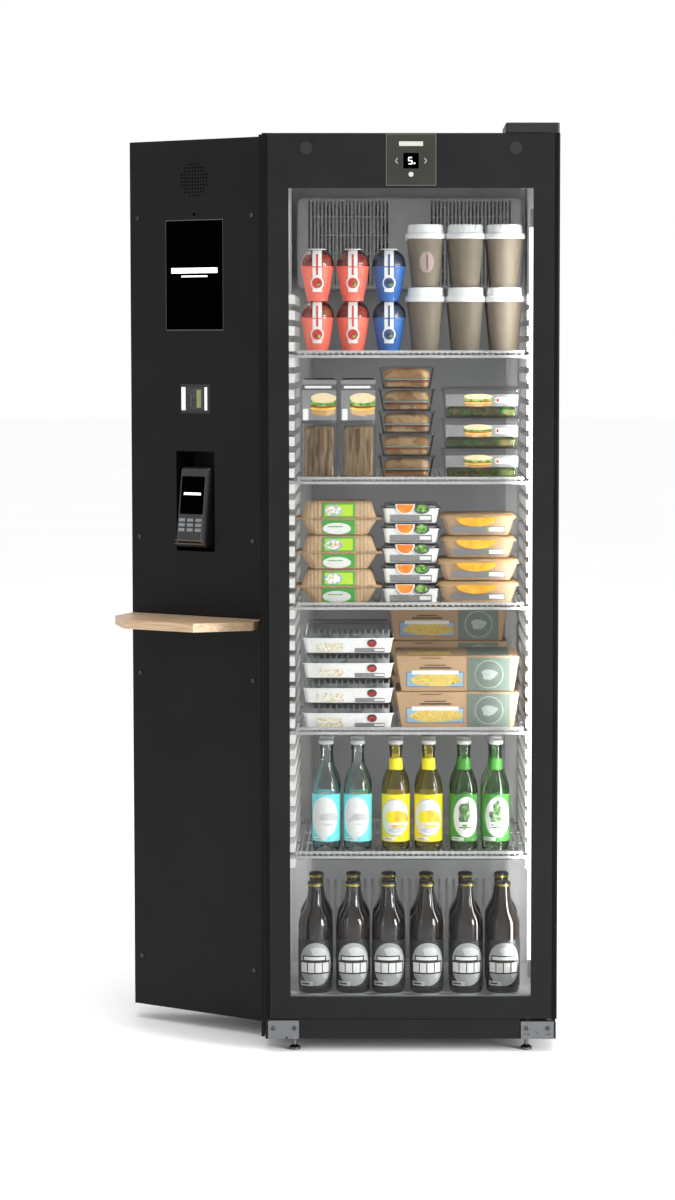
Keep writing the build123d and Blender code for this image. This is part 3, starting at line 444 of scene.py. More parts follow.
# ---- small trim on the door and the column ----
def column_face(u, v, lift):
    """Front of the column: across from its left edge, up from the floor."""
    x, y = COLUMN_X + u * math.cos(FACE_ANGLE), COLUMN_Y - u * math.sin(FACE_ANGLE)
    return (x - lift * math.sin(FACE_ANGLE), y - lift * math.cos(FACE_ANGLE), v)


def terminal_face(u, v, lift):
    """Front of the card terminal: across from its middle, up along its own slope."""
    out = TERMINAL_OUT - v * math.sin(TERMINAL_TILT) + lift * math.cos(TERMINAL_TILT)
    up = TERMINAL_Z + v * math.cos(TERMINAL_TILT) + lift * math.sin(TERMINAL_TILT)
    return column_face(FACE_MID + u, up, out)


def door_face(u, v, lift):
    """Front of the door: across from the fridge's centre line, up from the floor."""
    return (u, FRONT_Y / MM - lift, v)


def add_five(piece, surface, look, at, width, height, stroke):
    """The digit 5 in straight bars: top, upper left side, middle, lower right side and bottom."""
    x, z = at
    w, h, lift = width / 2, height / 2, 0.4
    for u, v, level in ((0, h, True), (-w, h / 2, False), (0, 0, True), (w, -h / 2, False), (0, -h, True)):
        half_u, half_v = (w, stroke / 2) if level else (stroke / 2, h / 2 + stroke / 2)
        piece.patch(x + u - half_u, x + u + half_u, z + v - half_v, z + v + half_v, surface, look, lift, 2, 2)


def frame_of(piece, surface, look, u0, u1, v0, v1, width, lift=0.3):
    """Narrow rectangular border."""
    for a, b, c, d in ((u0, u1, v0, v0 + width), (u0, u1, v1 - width, v1),
                       (u0, u0 + width, v0 + width, v1 - width), (u1 - width, u1, v0 + width, v1 - width)):
        piece.patch(a, b, c, d, surface, look, lift, 2, 2)


def add_control_display():
    """The door's control panel: temperature in a window, two arrows, a touch mark, a bar and a border."""
    window = moulded("display_glass", "050506", "08080a", 0.1, 40)
    ink = glowing("display_ink", "cfd4d4", 0.55)
    grey = coated("panel_print", "8f8f88", "9a9a93", 0.4)
    edge = coated("panel_edge", "4e4c45", "57554e", 0.35)
    window_half, panel_half, bar_half = 15.4, 50, 24
    digit_x, digit_width, digit_height, stroke = -1.5, 6.5, 12.5, 1.9
    arrow_tip, dot, dots = 30.6, 0.8, 4
    mark_drop, mark_width = 27, 10

    def panel(u, v, lift):
        return door_face(u, v, lift + PANEL_PROUD)

    piece = Piece("control_display")
    piece.patch(-window_half, window_half, DISPLAY_Z - window_half, DISPLAY_Z + window_half,
                panel, window, -0.1, 2, 2)
    add_five(piece, panel, ink, (digit_x, DISPLAY_Z), digit_width, digit_height, stroke)
    frame_of(piece, panel, ink, 5.2, 8.4, DISPLAY_Z - 6.6, DISPLAY_Z - 3.4, 0.8)
    for side in (-1, 1):
        for slope in (-1, 1):
            for k in range(dots):
                u = side * (arrow_tip - 1.1 * k)
                v = DISPLAY_Z + slope * (1.3 * k + 0.5)
                piece.patch(u - dot, u + dot, v - dot, v + dot, panel, grey, 0.3, 1, 1)
    piece.spot(disc(mark_width, mark_width, 20), (0, DISPLAY_Z - mark_drop), panel, grey, 0.3)
    frame_of(piece, panel, edge, -panel_half, panel_half, PANEL_Z0 + 1, PANEL_Z1 - 2, 0.9, 0.2)
    piece.patch(-bar_half, bar_half, PANEL_Z1 - 26, PANEL_Z1 - 17, panel, grey, 0.25, 4, 2)
    piece.finish("door")


def add_door_caps():
    """Round caps over the door's upper corners, each with a raised middle."""
    piece = Piece("door_caps")
    look = coated("cap_coat", "191919", "1f1f1f", 0.36, mirror=0.25)
    for x in (-CAP_X, CAP_X):
        for r, lift in ((13.0, 0.25), (9.5, 0.5)):
            piece.spot(disc(2 * r, 2 * r, 40), (x, CAP_Z), door_face, look, lift)
    piece.finish("door")


def add_touchscreen_face():
    """Black glass with a thin grey border and two plain bars in the place of lettering."""
    glass = moulded("screen_black", "010101", "020202", 0.12, 30, Specular_IOR_Level=0.0)
    border = coated("screen_border", "3c3d3e", "47484a", 0.4)
    ink = glowing("screen_ink", "f4f6f8", 0.9)
    half, foot, head, border_width = 75, 9.5, 1.2, 1.0
    piece = Piece("touchscreen_face")
    u0, u1 = FACE_MID - half, FACE_MID + half
    v0, v1 = SCREEN_LO.z / MM + foot, SCREEN_HI.z / MM - head
    piece.patch(u0, u1, v0, v1, column_face, glass, 0.05, 6, 8)
    frame_of(piece, column_face, border, u0, u1, v0, v1, border_width, 0.25)
    middle = (v0 + v1) / 2
    for bar, low, high in ((60, 4, 15), (34, -4, -1)):
        piece.patch(FACE_MID - bar, FACE_MID + bar, middle + low, middle + high, column_face, ink, 0.3, 6, 1)
    piece.finish("cabinet")


def add_reader_face():
    """Scanner window with its dark frame and a light bar at each side."""
    window = Look("reader_window", "5d665c", 0.12)
    window.tint(window.noise(30, 2, (1, 1, 0.2)), [(0.3, "566056"), (0.7, "6d776a")])
    band = moulded("reader_band", "74764f", "80825a", 0.2)
    frame_look = moulded("reader_frame", "1c1e1d", "262827", 0.3)
    bars = glowing("reader_bar", "f2f6f6", 0.9)
    edge, rebate = 6.5, 5
    z0, z1 = READER_Z0 + edge, READER_Z1 - edge
    low, high = z0 + rebate, z1 - rebate
    piece = Piece("code_reader_face")
    for u0, u1, v0, v1, look, lift, across in (
            (-24, 24, z0, z1, frame_look, -0.6, 4), (-19, 19, low, high, window.mat, -0.2, 4),
            (4, 16, low, high, band, 0.0, 2), (-34.8, -25.5, z0, z1, bars, 0.0, 2),
            (25.5, 31.5, z0, z1, bars, 0.0, 2)):
        piece.patch(FACE_MID + u0, FACE_MID + u1, v0, v1, column_face, look, lift, across, 4)
    piece.finish("cabinet")


def add_terminal_face():
    """Screen with a plain bar, and the two contact lines of the card slot."""
    glass = moulded("terminal_glass", "010101", "020202", 0.12, 30, Specular_IOR_Level=0.0)
    ink = glowing("terminal_ink", "f4f6f8", 0.9)
    brass = metal_sheet("slot_contacts", "4a3622", "5c452c", 0.35, (1, 1, 1), 0.3)
    piece = Piece("terminal_face")
    for half, low, high, look, lift, across, up in (
            (30, 68, 147, glass, -0.3, 4, 6), (22, 108, 113, ink, 0.1, 6, 1),
            (37, 11.5, 14, brass, 0.3, 6, 1), (37, 4.6, 6.6, brass, 0.3, 6, 1)):
        piece.patch(-half, half, low, high, terminal_face, look, lift, across, up)
    piece.finish("cabinet")


def add_trim():
    add_control_display()
    add_door_caps()
    add_touchscreen_face()
    add_reader_face()
    add_terminal_face()


# ---- looks of the stock ----
def clear_sheet(name, tint, edge, ior, mirror=0.9, rough=0.06):
    """Thin clear plastic or glass: tinted light passes straight through, less at grazing edges."""
    look = Look(name, tint, rough)
    facing = look.node("ShaderNodeLayerWeight")
    facing.inputs["Blend"].default_value = 0.42
    passing = look.see_through(mirror, look.span(look.noise(40, 2), rough, rough * 2.5), ior)
    look.link(look.ramp(facing.outputs["Facing"], [(0.35, tint), (0.92, edge)]), passing)
    return look.mat


def card(name, colour, other, rough=0.6, grain=160, stretch=(1, 1, 1)):
    """Printed card, paper or board with a faint fibre."""
    look = Look(name, colour, rough)
    fibre = look.noise(grain, 4, stretch)
    look.tint(fibre, [(0.3, colour), (0.7, other)])
    look.gloss(look.noise(80, 2), rough - 0.06, rough + 0.08)
    look.bump(fibre, 0.18, 0.0003)
    return look.mat


def food(name, stops, scale, bumpy=0.5, stretch=(1, 1, 1), rough=0.5):
    """Speckled food: coloured cells broken up by noise."""
    look = Look(name, stops[0][1], rough)
    cells = look.cells(scale, stretch)
    mix = look.node("ShaderNodeMix", data_type="FLOAT")
    mix.inputs["Factor"].default_value = 0.35
    value = look.node("ShaderNodeSeparateColor")
    look.link(cells.outputs["Color"], value.inputs["Color"])
    look.link(value.outputs["Red"], mix.inputs["A"])
    look.link(look.noise(scale * 1.7, 4, stretch), mix.inputs["B"])
    look.tint(mix.outputs["Result"], stops)
    look.bump(cells.outputs["Distance"], bumpy, 0.002)
    look.gloss(look.noise(scale, 2), rough - 0.15, rough + 0.15)
    return look.mat


def make_stock_looks():
    """Materials of the food, the packs and their print, by short names."""
    return {
        "coral": moulded("cup_coral", "ec6a58", "f27a66", 0.3),
        "blue": moulded("cup_blue", "2f62a8", "3b70b6", 0.3),
        "white": card("white_print", "dcdcda", "e8e8e6", 0.5),
        "lid": moulded("cup_lid", "dfe2e3", "ecedee", 0.32),
        "clear": clear_sheet("clear_plastic", "f6f7f7", "b4b7b8", 1.38),
        "smoke": clear_sheet("smoked_plastic", "e8e9ea", "a4a6a8", 1.4),
        "red_fruit": food("red_fruit", [(0.2, "7d1815"), (0.5, "c4362e"), (0.8, "8f5a34")], 110),
        "dark_fruit": food("dark_fruit", [(0.2, "28304a"), (0.5, "4c5c86"), (0.8, "2a2d3c")], 110),
        "red_ink": card("red_ink", "c4403a", "cf4c45", 0.5),
        "blue_ink": card("blue_ink", "2c4d86", "375a95", 0.5),
        "taupe": card("taupe_board", "6c6252", "7a6f61", 0.62, 60, (6, 6, 0.6)),
        "bean": card("bean_print", "9a8583", "a89391", 0.6),
        "bean_line": card("bean_line_print", "5f5046", "695a50", 0.6),
        "grey": card("grey_card", "7b7b7b", "858585", 0.5),
        "dark_grey": card("dark_grey_card", "4c4d4e", "575859", 0.5),
        "pale_bread": card("pale_bread", "d9bf94", "eddcb8", 0.7, 300),
        "bread": food("bread", [(0.2, "a8794a"), (0.5, "c99c66"), (0.85, "dab688")], 45, 0.2, rough=0.6),
        "toast": food("toast", [(0.15, "6b4a33"), (0.45, "a98862"), (0.8, "c4ab88")], 75, 0.4, (3, 3, 0.25)),
        "lettuce": food("lettuce", [(0.2, "2f6b22"), (0.5, "5f9a33"), (0.85, "a9c46a")], 220, 0.6),
        "tomato": food("tomato", [(0.3, "8e1d1a"), (0.7, "b9382c")], 160),
        "cheese": food("cheese", [(0.3, "e0b83a"), (0.7, "f0d060")], 60, 0.1),
        "kraft": fluted_kraft("kraft_pulp", "b29573", "c2a684"),
        "kraft_board": card("kraft_board", "ad8c69", "b99a78", 0.6, 220),
        "kraft_lid": card("kraft_lid", "a5855d", "b4946b", 0.5, 120),
        "green": card("green_print", "3f9a3f", "4daa48", 0.5),
        "lime": card("lime_print", "a8cf2c", "b9db3e", 0.5),
        "salad": food("salad", [(0.1, "d9573c"), (0.35, "e9e6dc"), (0.6, "eff0ea"), (0.85, "7fae52")], 210),
        "soup": food("soup", [(0.3, "e0741c"), (0.7, "f08c2c")], 90, 0.15, rough=0.35),
        "yolk": food("yolk", [(0.3, "d99c1e"), (0.7, "ecb431")], 120, 0.2),
        "noodles": noodle_print("noodle_print"),
        "sage": card("sage_card", "66736a", "707d74", 0.55),
        "sage_line": card("sage_line_print", "a3aca4", "b0b8b1", 0.55),
        "brown_ink": card("brown_ink", "3c2c22", "493829", 0.55),
        "sky": card("sky_print", "7fa6c4", "a5c2d6", 0.55, 20),
        "aqua": card("aqua_label", "62d9df", "78e2e6", 0.45),
        "yellow": card("yellow_label", "f0dc00", "f4e408", 0.45),
        "leaf": card("leaf_label", "3b8a2c", "479636", 0.45),
        "clear_glass": clear_sheet("clear_glass", "f3f5f5", "9aa1a3", 1.5, 1.0, 0.03),
        "yellow_glass": clear_sheet("yellow_glass", "efe86e", "a89c14", 1.5, 1.0, 0.03),
        "green_glass": clear_sheet("green_glass", "cfe6c4", "6f9c60", 1.5, 1.0, 0.03),
        "brown_glass": dark_glass("brown_glass"),
        "silver": card("silver_label", "8b8c8d", "b3b4b5", 0.35, 8),
        "label_black": card("label_black", "1e1f20", "282929", 0.4),
        "mint": card("mint_print", "a9d8c8", "b9e2d4", 0.5),
        "herb": food("herb", [(0.2, "33502c"), (0.5, "587f4c"), (0.85, "a3bd94")], 160, 0.3),
        "orange": food("orange_print", [(0.2, "e8a21a"), (0.55, "f3bd2a"), (0.85, "f8d75a")], 60, 0.1),
        "pale_silver": card("pale_silver_label", "bcbdbe", "cfd0d0", 0.35, 8),
        "black": moulded("black_cap", "17150f", "242119", 0.35),
        "gold": metal_sheet("gold_ring", "9a8a3c", "c9b85c", 0.25, (1, 1, 1)),
        "cap": moulded("pale_cap", "b9babb", "cacbcc", 0.35),
        "salad_mix": food("salad_mix", [(0.2, "2f5f22"), (0.45, "7a5a3a"), (0.7, "4f8f2c"),
                                        (0.9, "b9653a")], 120),
        # painted shade: the trays' contents as plain grey food, coloured as they look in shade
        "shaded_fill": food("shaded_food", [(0.2, "8a8b8b"), (0.5, "b4b5b5"), (0.8, "d0d0d0")], 60),
        "speckle": food("speckled_print", [(0.2, "e4e4e0"), (0.5, "dcdcd6"), (0.8, "cdb26a")], 320, 0.1),
    }


def fluted_kraft(name, colour, other):
    """Moulded pulp with upright flutes."""
    look = Look(name, colour, 0.7)
    look.tint(look.noise(160, 5), [(0.3, colour), (0.7, other)])
    wave = look.node("ShaderNodeTexWave", bands_direction="X")
    wave.inputs["Scale"].default_value = 40
    look.link(look.spot(), wave.inputs["Vector"])
    look.bump(wave.outputs["Fac"], 0.35, 0.002)
    look.bump(look.noise(420, 3), 0.25, 0.0005)
    look.gloss(look.noise(90, 2), 0.62, 0.8)
    return look.mat


def noodle_print(name):
    """Tangle of noodles with herbs."""
    look = Look(name, "c79a3e", 0.5)
    strands = look.noise(95, 3, (1, 1, 1.6), 3.5)
    look.tint(strands, [(0.3, "7a5a1c"), (0.42, "d9a93e"), (0.55, "f0d683"), (0.62, "4f8a2c"),
                        (0.75, "e2b650")])
    look.bump(strands, 0.5, 0.001)
    look.gloss(strands, 0.4, 0.6)
    return look.mat


def dark_glass(name):
    """Brown bottle glass, full: almost opaque, with a clear gloss."""
    look = Look(name, "140b08", 0.06, Coat_Weight=0.4, Coat_Roughness=0.03)
    look.tint(look.noise(14, 2), [(0.3, "0f0906"), (0.7, "1c100b")])
    look.gloss(look.noise(30, 2), 0.05, 0.12)
    return look.mat


# ---- stock ----
def depth(distance):
    """Place behind the door's front, in the piece code's millimetres."""
    return FRONT_Y / MM + distance


def standing_on(shelf):
    """Height of what stands on a wire shelf, or on the cabinet's floor for shelf 0."""
    if shelf == 0:
        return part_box("rear_air_panel")[0].z / MM - AIR_PANEL_GAP
    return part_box(f"wire_shelf_{shelf}")[1].z / MM - SHELF_LIP


def rows_of(base, places, distances, pitch=0, count=1):
    """Packs side by side, in rows and in stacks: where each stands, its number, its row and its level."""
    return [((x, depth(distance), base + pitch * level), k, row, level)
            for row, distance in enumerate(distances) for level in range(count) for k, x in enumerate(places)]


# outlines of turned packs are (radius, height) pairs
CUP = [(20, 0), (21.5, 0.8), (22.4, 12), (24.4, 15), (33.4, 68), (35, 69), (35, 71.4)]
CUP_DOME = [(34, 71.5), (34, 74), (33, 83), (29.5, 92), (24, 98.5), (17.5, 103.6), (14, 105.4)]


def add_fruit_cup(piece, at, look, fruit, ink, seed):
    draw = random.Random(seed)
    piece.turned(CUP, at, look)
    piece.turned(CUP_DOME, at, "clear")
    heap = [(31, 71.5), (32, 78), (29, 87), (22, 94), (10, 98)]
    piece.turned([(r + draw.uniform(-1, 1), z) for r, z in heap], at, fruit, 24)
    whole = CUP[:-1] + CUP_DOME[1:]
    strap = strap_side(whole, at)
    piece.patch(-9.5, 9.5, 19, 104, strap, "white", 0.5, 6, 26)
    piece.turned([(13, 104.4), (18.4, 105.2), (18.4, 106.6), (14, 107.4)], at, "white", 28)
    piece.patch(-2.2, 2.2, 53, 96, strap, ink, 0.8, 2, 14)
    side = round_side(whole, at)
    piece.spot(disc(28, 28), (0, 37), side, "white", 0.9)
    piece.spot(disc(22, 22), (0, 37), side, ink, 1.2)
    piece.spot(blob(17, 13, seed), (1, 38), side, fruit, 1.5)
    piece.spot(blob(8, 6, seed + 3), (4, 33), side, "lettuce", 1.8, 2)


def add_fruit_cups(piece, base):
    for at, k, _, level in rows_of(base, (-191, -118, -44), [160], pitch=104.8, count=2):
        kind = ("blue", "dark_fruit", "blue_ink") if k == 2 else ("coral", "red_fruit", "red_ink")
        add_fruit_cup(piece, at, *kind, seed=10 * level + k)


COFFEE = [(26, 0), (27, 0.8), (27.6, 6), (37.6, 103), (38.2, 106)]
COFFEE_LID = [(40, 103.6), (41.6, 105), (41.6, 112.5), (40.6, 114.5), (37.4, 115.6), (36, 130), (34.8, 132.6),
              (32.5, 132.8), (30, 127)]


def add_coffee_cups(piece, base):
    for at, k, row, level in rows_of(base, (31, 113, 193), (160, 262), pitch=128.4, count=2):
        piece.turned(COFFEE, at, "taupe")
        piece.turned(COFFEE_LID, at, "lid")
        if (k, row, level) == (0, 0, 1):
            side = round_side(COFFEE, at)
            piece.spot(disc(31, 43), (2, 56), side, "bean", 0.5)
            piece.spot(disc(3.8, 38), (3, 56), side, "bean_line", 0.9)


def add_sandwich_picture(piece, side, at, width, height, lift):
    """Printed sandwich: two slices with filling between them."""
    x, z = at
    layers = [("pale_bread", 0.26, 1.0, 0.42), ("lettuce", 0.06, 1.04, 0.3), ("tomato", -0.06, 0.98, 0.2),
              ("cheese", -0.16, 1.0, 0.16), ("bread", -0.3, 0.96, 0.34)]
    for i, (look, up, wide, tall) in enumerate(reversed(layers)):
        outline = blob(width * wide, height * tall, i, 0.05)
        piece.spot(outline, (x, z + height * up), side, look, lift + 0.12 * i)


def add_wedge_packs(piece, base):
    for at, *_ in rows_of(base, (-187, -107), [150]):
        piece.tub([(34, 38, 0), (36, 40, 2), (36, 40, 192), (34, 36, 201), (30, 24, 205)], at, "clear", 5)
        piece.tub([(28, 32, 3), (30, 34, 6), (30, 34, 100), (27, 30, 106)], at, "toast", 6)
        piece.tub([(34, 32, 112), (34, 32, 190)], at, "grey", 4)
        side = flat_side(at, 40.2)
        frame_of(piece, side, "dark_grey", -35.5, 35.5, 1, 118, 2.2, 0.4)
        piece.patch(-35.5, 35.5, 119, 201, side, "grey", 0.5)
        piece.patch(-35.5, 35.5, 180, 192, side, "dark_grey", 0.9)
        piece.patch(-29, 25, 184, 189, side, "white", 1.3)
        add_sandwich_picture(piece, side, (9, 151), 52, 50, 1.0)
        piece.patch(-33, -22, 119, 142, side, "white", 0.9)
        for u, v0, v1 in ((-26, 20, 92), (-19, 48, 100), (24, 12, 60)):
            piece.patch(u, u + 2.4, v0, v1, side, "clear", 0.7, 1, 6)


def add_roll_boxes(piece, base):
    for at, *_ in rows_of(base, [-8], [160], pitch=46, count=5):
        piece.tub([(46, 36, 0.3), (49, 39, 2), (56, 44, 41), (58.5, 46.5, 42), (58.5, 46.5, 45),
                   (52, 40, 45.8)], at, "clear", 9)
        for look, z0, z1, w in (("bread", 3, 14, 44), ("tomato", 14, 16.5, 45.5), ("mint", 16.5, 20, 46.5)):
            swell = (z1 - z0) * 0.3
            piece.tub([(w - 1.5, 32, z0), (w, 34, z0 + swell), (w, 34, z1 - swell), (w - 2, 31, z1)],
                      at, look, 12)
        piece.tub([(45, 32, 20), (47, 34, 23), (47, 34, 29), (44, 32, 35), (37, 26, 39.5), (24, 16, 41.5)],
                  at, "bread", 14)


def add_sleeve_trays(piece, base):
    for at, *_ in rows_of(base, [146], [166], pitch=62.4, count=3):
        piece.tub([(72, 52, 0.3), (74, 54, 2), (80, 60, 56), (83, 63, 57), (83, 63, 60), (76, 56, 62)],
                  at, "clear", 10)
        piece.tub([(66, 47, 3), (69, 50, 6), (70, 51, 16), (66, 47, 20)], at, "salad_mix", 8)
        side = flat_side(at, 54, 0.105)
        piece.patch(-74, 74, 23, 47, side, "grey", 0.8)
        piece.patch(28, 70, 30, 40, side, "white", 1.2)
        piece.patch(40, 64, 34, 36, side, "grey", 1.6)
        piece.spot(disc(6, 8), (32, 35), side, "tomato", 1.6)
        add_sandwich_picture(piece, side, (-8, 35), 58, 28, 1.2)


def add_clamshells(piece, base):
    for at, _, _, level in rows_of(base, [-147], [165], pitch=70, count=3):
        piece.tub([(56, 46, 0), (60, 50, 2), (77, 62, 31), (87, 68, 32.5), (89, 70, 34)], at, "kraft", 20)
        piece.tub([(89, 70, 34.3), (87, 68, 36), (77, 62, 37.5), (69, 55, 62), (64, 50, 68), (54, 42, 69.8)],
                  at, "kraft", 20)
        low = flat_side(at, 49, 0.42)
        piece.patch(-33, 33, 3, 31, low, "green", 1.2)
        piece.spot(disc(58, 24), (-4, 14), low, "white", 1.7)
        piece.patch(-22, 8, 17, 19, low, "green", 2.1, 4, 1)
        high = flat_side(at, 62 + 37.5 * 0.29, -0.29)
        piece.patch(-33, 33, 37, 66, high, "green", 1.2)
        piece.patch(-29, 29, 39.5, 63, high, "lime", 1.6)
        piece.spot(disc(36, 23), (-11, 51), high, "sky", 2.0)
        piece.spot(blob(31, 19, level), (-12, 51), high, "salad", 2.4)


def add_soup_trays(piece, base):
    for at, _, _, level in rows_of(base, [1], [160], pitch=41.2, count=5):
        piece.tub([(51, 41, 0.2), (53, 43, 2), (56.5, 46, 27.5), (58, 48, 28), (58, 48, 30)], at, "white", 8)
        piece.tub([(62, 48, 30.3), (62, 48, 31.5), (57, 43, 32.5), (54, 40, 39.5), (49, 35, 40.8)],
                  at, "clear", 9)
        # painted shade: the contents as plain grey food, coloured as they look in shade
        piece.tub([(52, 38, 27), (51, 37, 35)], at, "shaded_fill", 9)
        side = flat_side(at, 43.2, 0.12)
        piece.patch(-43, 43, 4, 17, side, "grey", 0.9)
        piece.patch(18, 41, 7, 14, side, "white", 1.3)
        piece.patch(-43, 43, 2.5, 4, side, "dark_grey", 1.2, 4, 1)
        upper = flat_side(at, 49.4, 0)
        piece.spot(disc(40, 42, 20, 180, 180), (-12, 39), upper, "white", 0.4)
        piece.spot(disc(34, 35, 20, 180, 180), (-12, 38), upper, "soup", 0.9)
        piece.spot(disc(32, 20), (22, 29), upper, "dark_grey", 0.3)
        piece.spot(blob(24, 15, level + 3), (22, 30), upper, "lettuce", 0.6)


def add_kraft_bowls(piece, base):
    for at, _, _, level in rows_of(base, [139], [166], pitch=46, count=4):
        scale = 1.04 if level < 2 else 0.96
        levels = [(62, 48, 0.2), (66, 52, 2), (77, 62, 36), (82, 67, 36.6), (82, 67, 39)]
        piece.tub([(scale * x, scale * y, z) for x, y, z in levels], at, "kraft_board", 14)
        lid = [(80, 65, 39.2), (80, 65, 42), (74, 59, 45.6)]
        piece.tub([(scale * x, scale * y, z) for x, y, z in lid], at, "kraft_lid", 12)
        side = flat_side(at, 52 * scale, 0.29)
        piece.patch(-56, 56, 7, 21, side, "grey", 1.2)
        piece.patch(22, 53, 10, 18, side, "white", 1.7)
        piece.spot(disc(5, 7), (20, 14), side, "lettuce", 2.0)
        piece.spot(disc(83, 36, 24, 180, 180), (-4, 38.5), flat_side(at, 67.2 * scale), "yolk", 0.5)


def add_lidded_trays(piece, base):
    for at, _, _, level in rows_of(base, [-128], [160], pitch=51.6, count=4):
        piece.tub([(84, 58, 0.2), (87, 61, 2), (92, 66, 29), (94, 68, 29.6), (94, 68, 31.8)], at, "white", 9)
        tall = 9 if level == 3 else 0
        lid = [(93, 67, 32.1), (92, 66, 34), (88, 62, 47 + tall), (83, 57, 51.2 + tall)]
        piece.tub(lid, at, "smoke", 12)
        # painted shade: the contents as plain grey food, coloured as they look in shade
        piece.tub([(86, 56, 27), (84, 54, 40)], at, "shaded_fill", 10)
        for k in range(15):
            u = -84 + 12 * k
            piece.patch(u - 1.2, u + 1.2, 35, 48, flat_side(at, 66, -0.24), "pale_silver", 0.5, 1, 2)
        side = flat_side(at, 61.2, 0.17)
        piece.patch(-64, -10, 3, 22, side, "speckle", 0.8)
        piece.patch(14, 75, 2, 11, side, "grey", 0.8)
        piece.patch(54, 74, 5, 9, side, "white", 1.2)
        piece.spot(disc(20, 16), (49, 21), side, "label_black", 1.2)
        piece.spot(blob(17, 11, level), (49, 20), side, "tomato", 1.6)


def add_noodle_boxes(piece, base):
    top, front_stack, rear_stack = 74.4, (97, 198, 95, 2), (84, 484, 50, 3)
    places = [(at, level, half) for x, distance, half, count in (front_stack, rear_stack)
              for at, _, _, level in rows_of(base, [x], [distance], 74.6, count)]
    for at, level, half in places:
        piece.tub([(115, half - 7, 0.2), (116, half - 6, 1), (127, half, 71), (126.4, half - 0.6, 73.6),
                   (122, half - 4, top)], at, "kraft_board", 3)
        side = flat_side(at, half - 6, 0.09)
        piece.patch(21, 108, 1.5, 71, side, "sage", 0.8)
        piece.patch(21, 108, 8 - half, half - 8, top_side(at, top), "sage", 0.6)
        piece.patch(-105, 13, 10, 41, side, "dark_grey", 0.6)
        piece.patch(-104, 12, 11, 40, side, "sky", 0.9)
        piece.spot(blob(108, 27, 7 * level + at[0], 0.07), (-43, 25), side, "noodles", 1.3)
        piece.patch(-94, 2, 36, 44, side, "white", 1.7)
        piece.patch(-78, -14, 48, 51, side, "brown_ink", 0.7)
        piece.patch(-68, -24, 54, 56, side, "brown_ink", 0.7)
        piece.patch(-76, -33, 69, 70.4, side, "brown_ink", 0.6)
        piece.patch(-101, -14, 30 - half, 96 - half, top_side(at, top), "noodles", 0.5)
        add_ring_emblem(piece, side, (65, 36))


def top_side(at, height):
    """Top of a box: across along its width, up towards its back."""
    def surface(u, v, lift):
        return (at[0] + u, at[1] + v, at[2] + height + lift)
    return surface


def add_ring_emblem(piece, side, at):
    """Plain ring with rays and a round middle."""
    piece.spot(disc(59, 59), at, side, "sage_line", 1.1)
    piece.spot(disc(55.5, 55.5), at, side, "sage", 1.4)
    piece.spot(blob(28, 24, 8, 0.22), at, side, "sage_line", 1.7)
    for i in range(30):
        a = 2 * math.pi * i / 30
        u, v = at[0] + 33 * math.cos(a), at[1] + 33 * math.sin(a)
        piece.spot(disc(1.8, 1.8, 8), (u, v), side, "sage_line", 1.3, 1)


BOTTLE = [(20, 0), (27, 1), (29, 5), (29.2, 124), (27.8, 134), (24, 147), (18.4, 158), (14.8, 168),
          (13.4, 180), (12.6, 205), (14.2, 208), (14.2, 214), (12.8, 216), (12.8, 219)]
BOTTLE_CAP = [(14.4, 219.2), (15.4, 221), (15, 226.4), (11.5, 229)]


def add_soft_drinks(piece, base):
    kinds = ["aqua", "aqua", "yellow", "yellow", "leaf", "leaf"]
    glass = {"aqua": "clear_glass", "yellow": "yellow_glass", "leaf": "green_glass"}
    for at, k, row, _ in rows_of(base, (-174, -109, -30, 38, 111, 177), (140, 218)):
        kind, seed = kinds[k], row + at[0]
        side = round_side(BOTTLE, at)
        piece.turned(BOTTLE, at, glass[kind])
        piece.turned(BOTTLE_CAP, at, "cap")
        piece.patch(-42, 42, 19, 117, side, kind, 0.4, 20, 4)
        if kind == "leaf":
            piece.spot(disc(58, 84), (5, 70), side, "white", 0.8, 6)
            piece.spot(blob(26, 50, seed, 0.3), (1, 76), side, "herb", 1.1, 4)
            piece.patch(-16, 22, 55, 60, side, "white", 1.5, 8, 1)
            piece.patch(-10, 16, 47, 50, side, "herb", 1.5, 8, 1)
        elif kind == "yellow":
            piece.spot(disc(66, 78), (-2, 69), side, "sage_line", 0.7, 6)
            piece.spot(disc(64, 74), (-2, 69), side, "white", 0.9, 6)
            piece.spot(blob(48, 36, seed, 0.12), (5, 66), side, "orange", 1.2, 4)
            piece.spot(blob(22, 30, row + 5), (-12, 68), side, "yellow", 1.5, 4)
            piece.patch(-24, 22, 54, 59, side, "white", 1.9, 10, 1)
            piece.spot(disc(40, 11), (2, 43), side, "pale_silver", 1.3, 2)
        else:
            piece.spot(disc(62, 84), (-4, 70), side, "white", 0.8, 6)
            piece.spot(blob(44, 26, seed), (6, 66), side, "pale_silver", 1.1, 4)
            piece.patch(-14, 24, 57, 63, side, "white", 1.5, 8, 1)
        if kind != "aqua":
            piece.patch(-19, 19, 167, 190, side, kind, 0.4, 12, 4)
        piece.patch(-28, 0, 21, 28, side, "white", 1.2, 6, 1)
        piece.patch(-25, -10, 23.5, 25.5, side, "grey", 1.5, 4, 1)


BEER = [(22, 0), (32, 1.2), (34.6, 5), (34.8, 140), (33.4, 151), (28, 163), (21.6, 174), (17.6, 187),
        (15.4, 205), (14.4, 219), (14.4, 222)]
BEER_CAP = [(14.6, 222.2), (15.8, 223.2), (15.4, 229), (11.6, 231.4)]


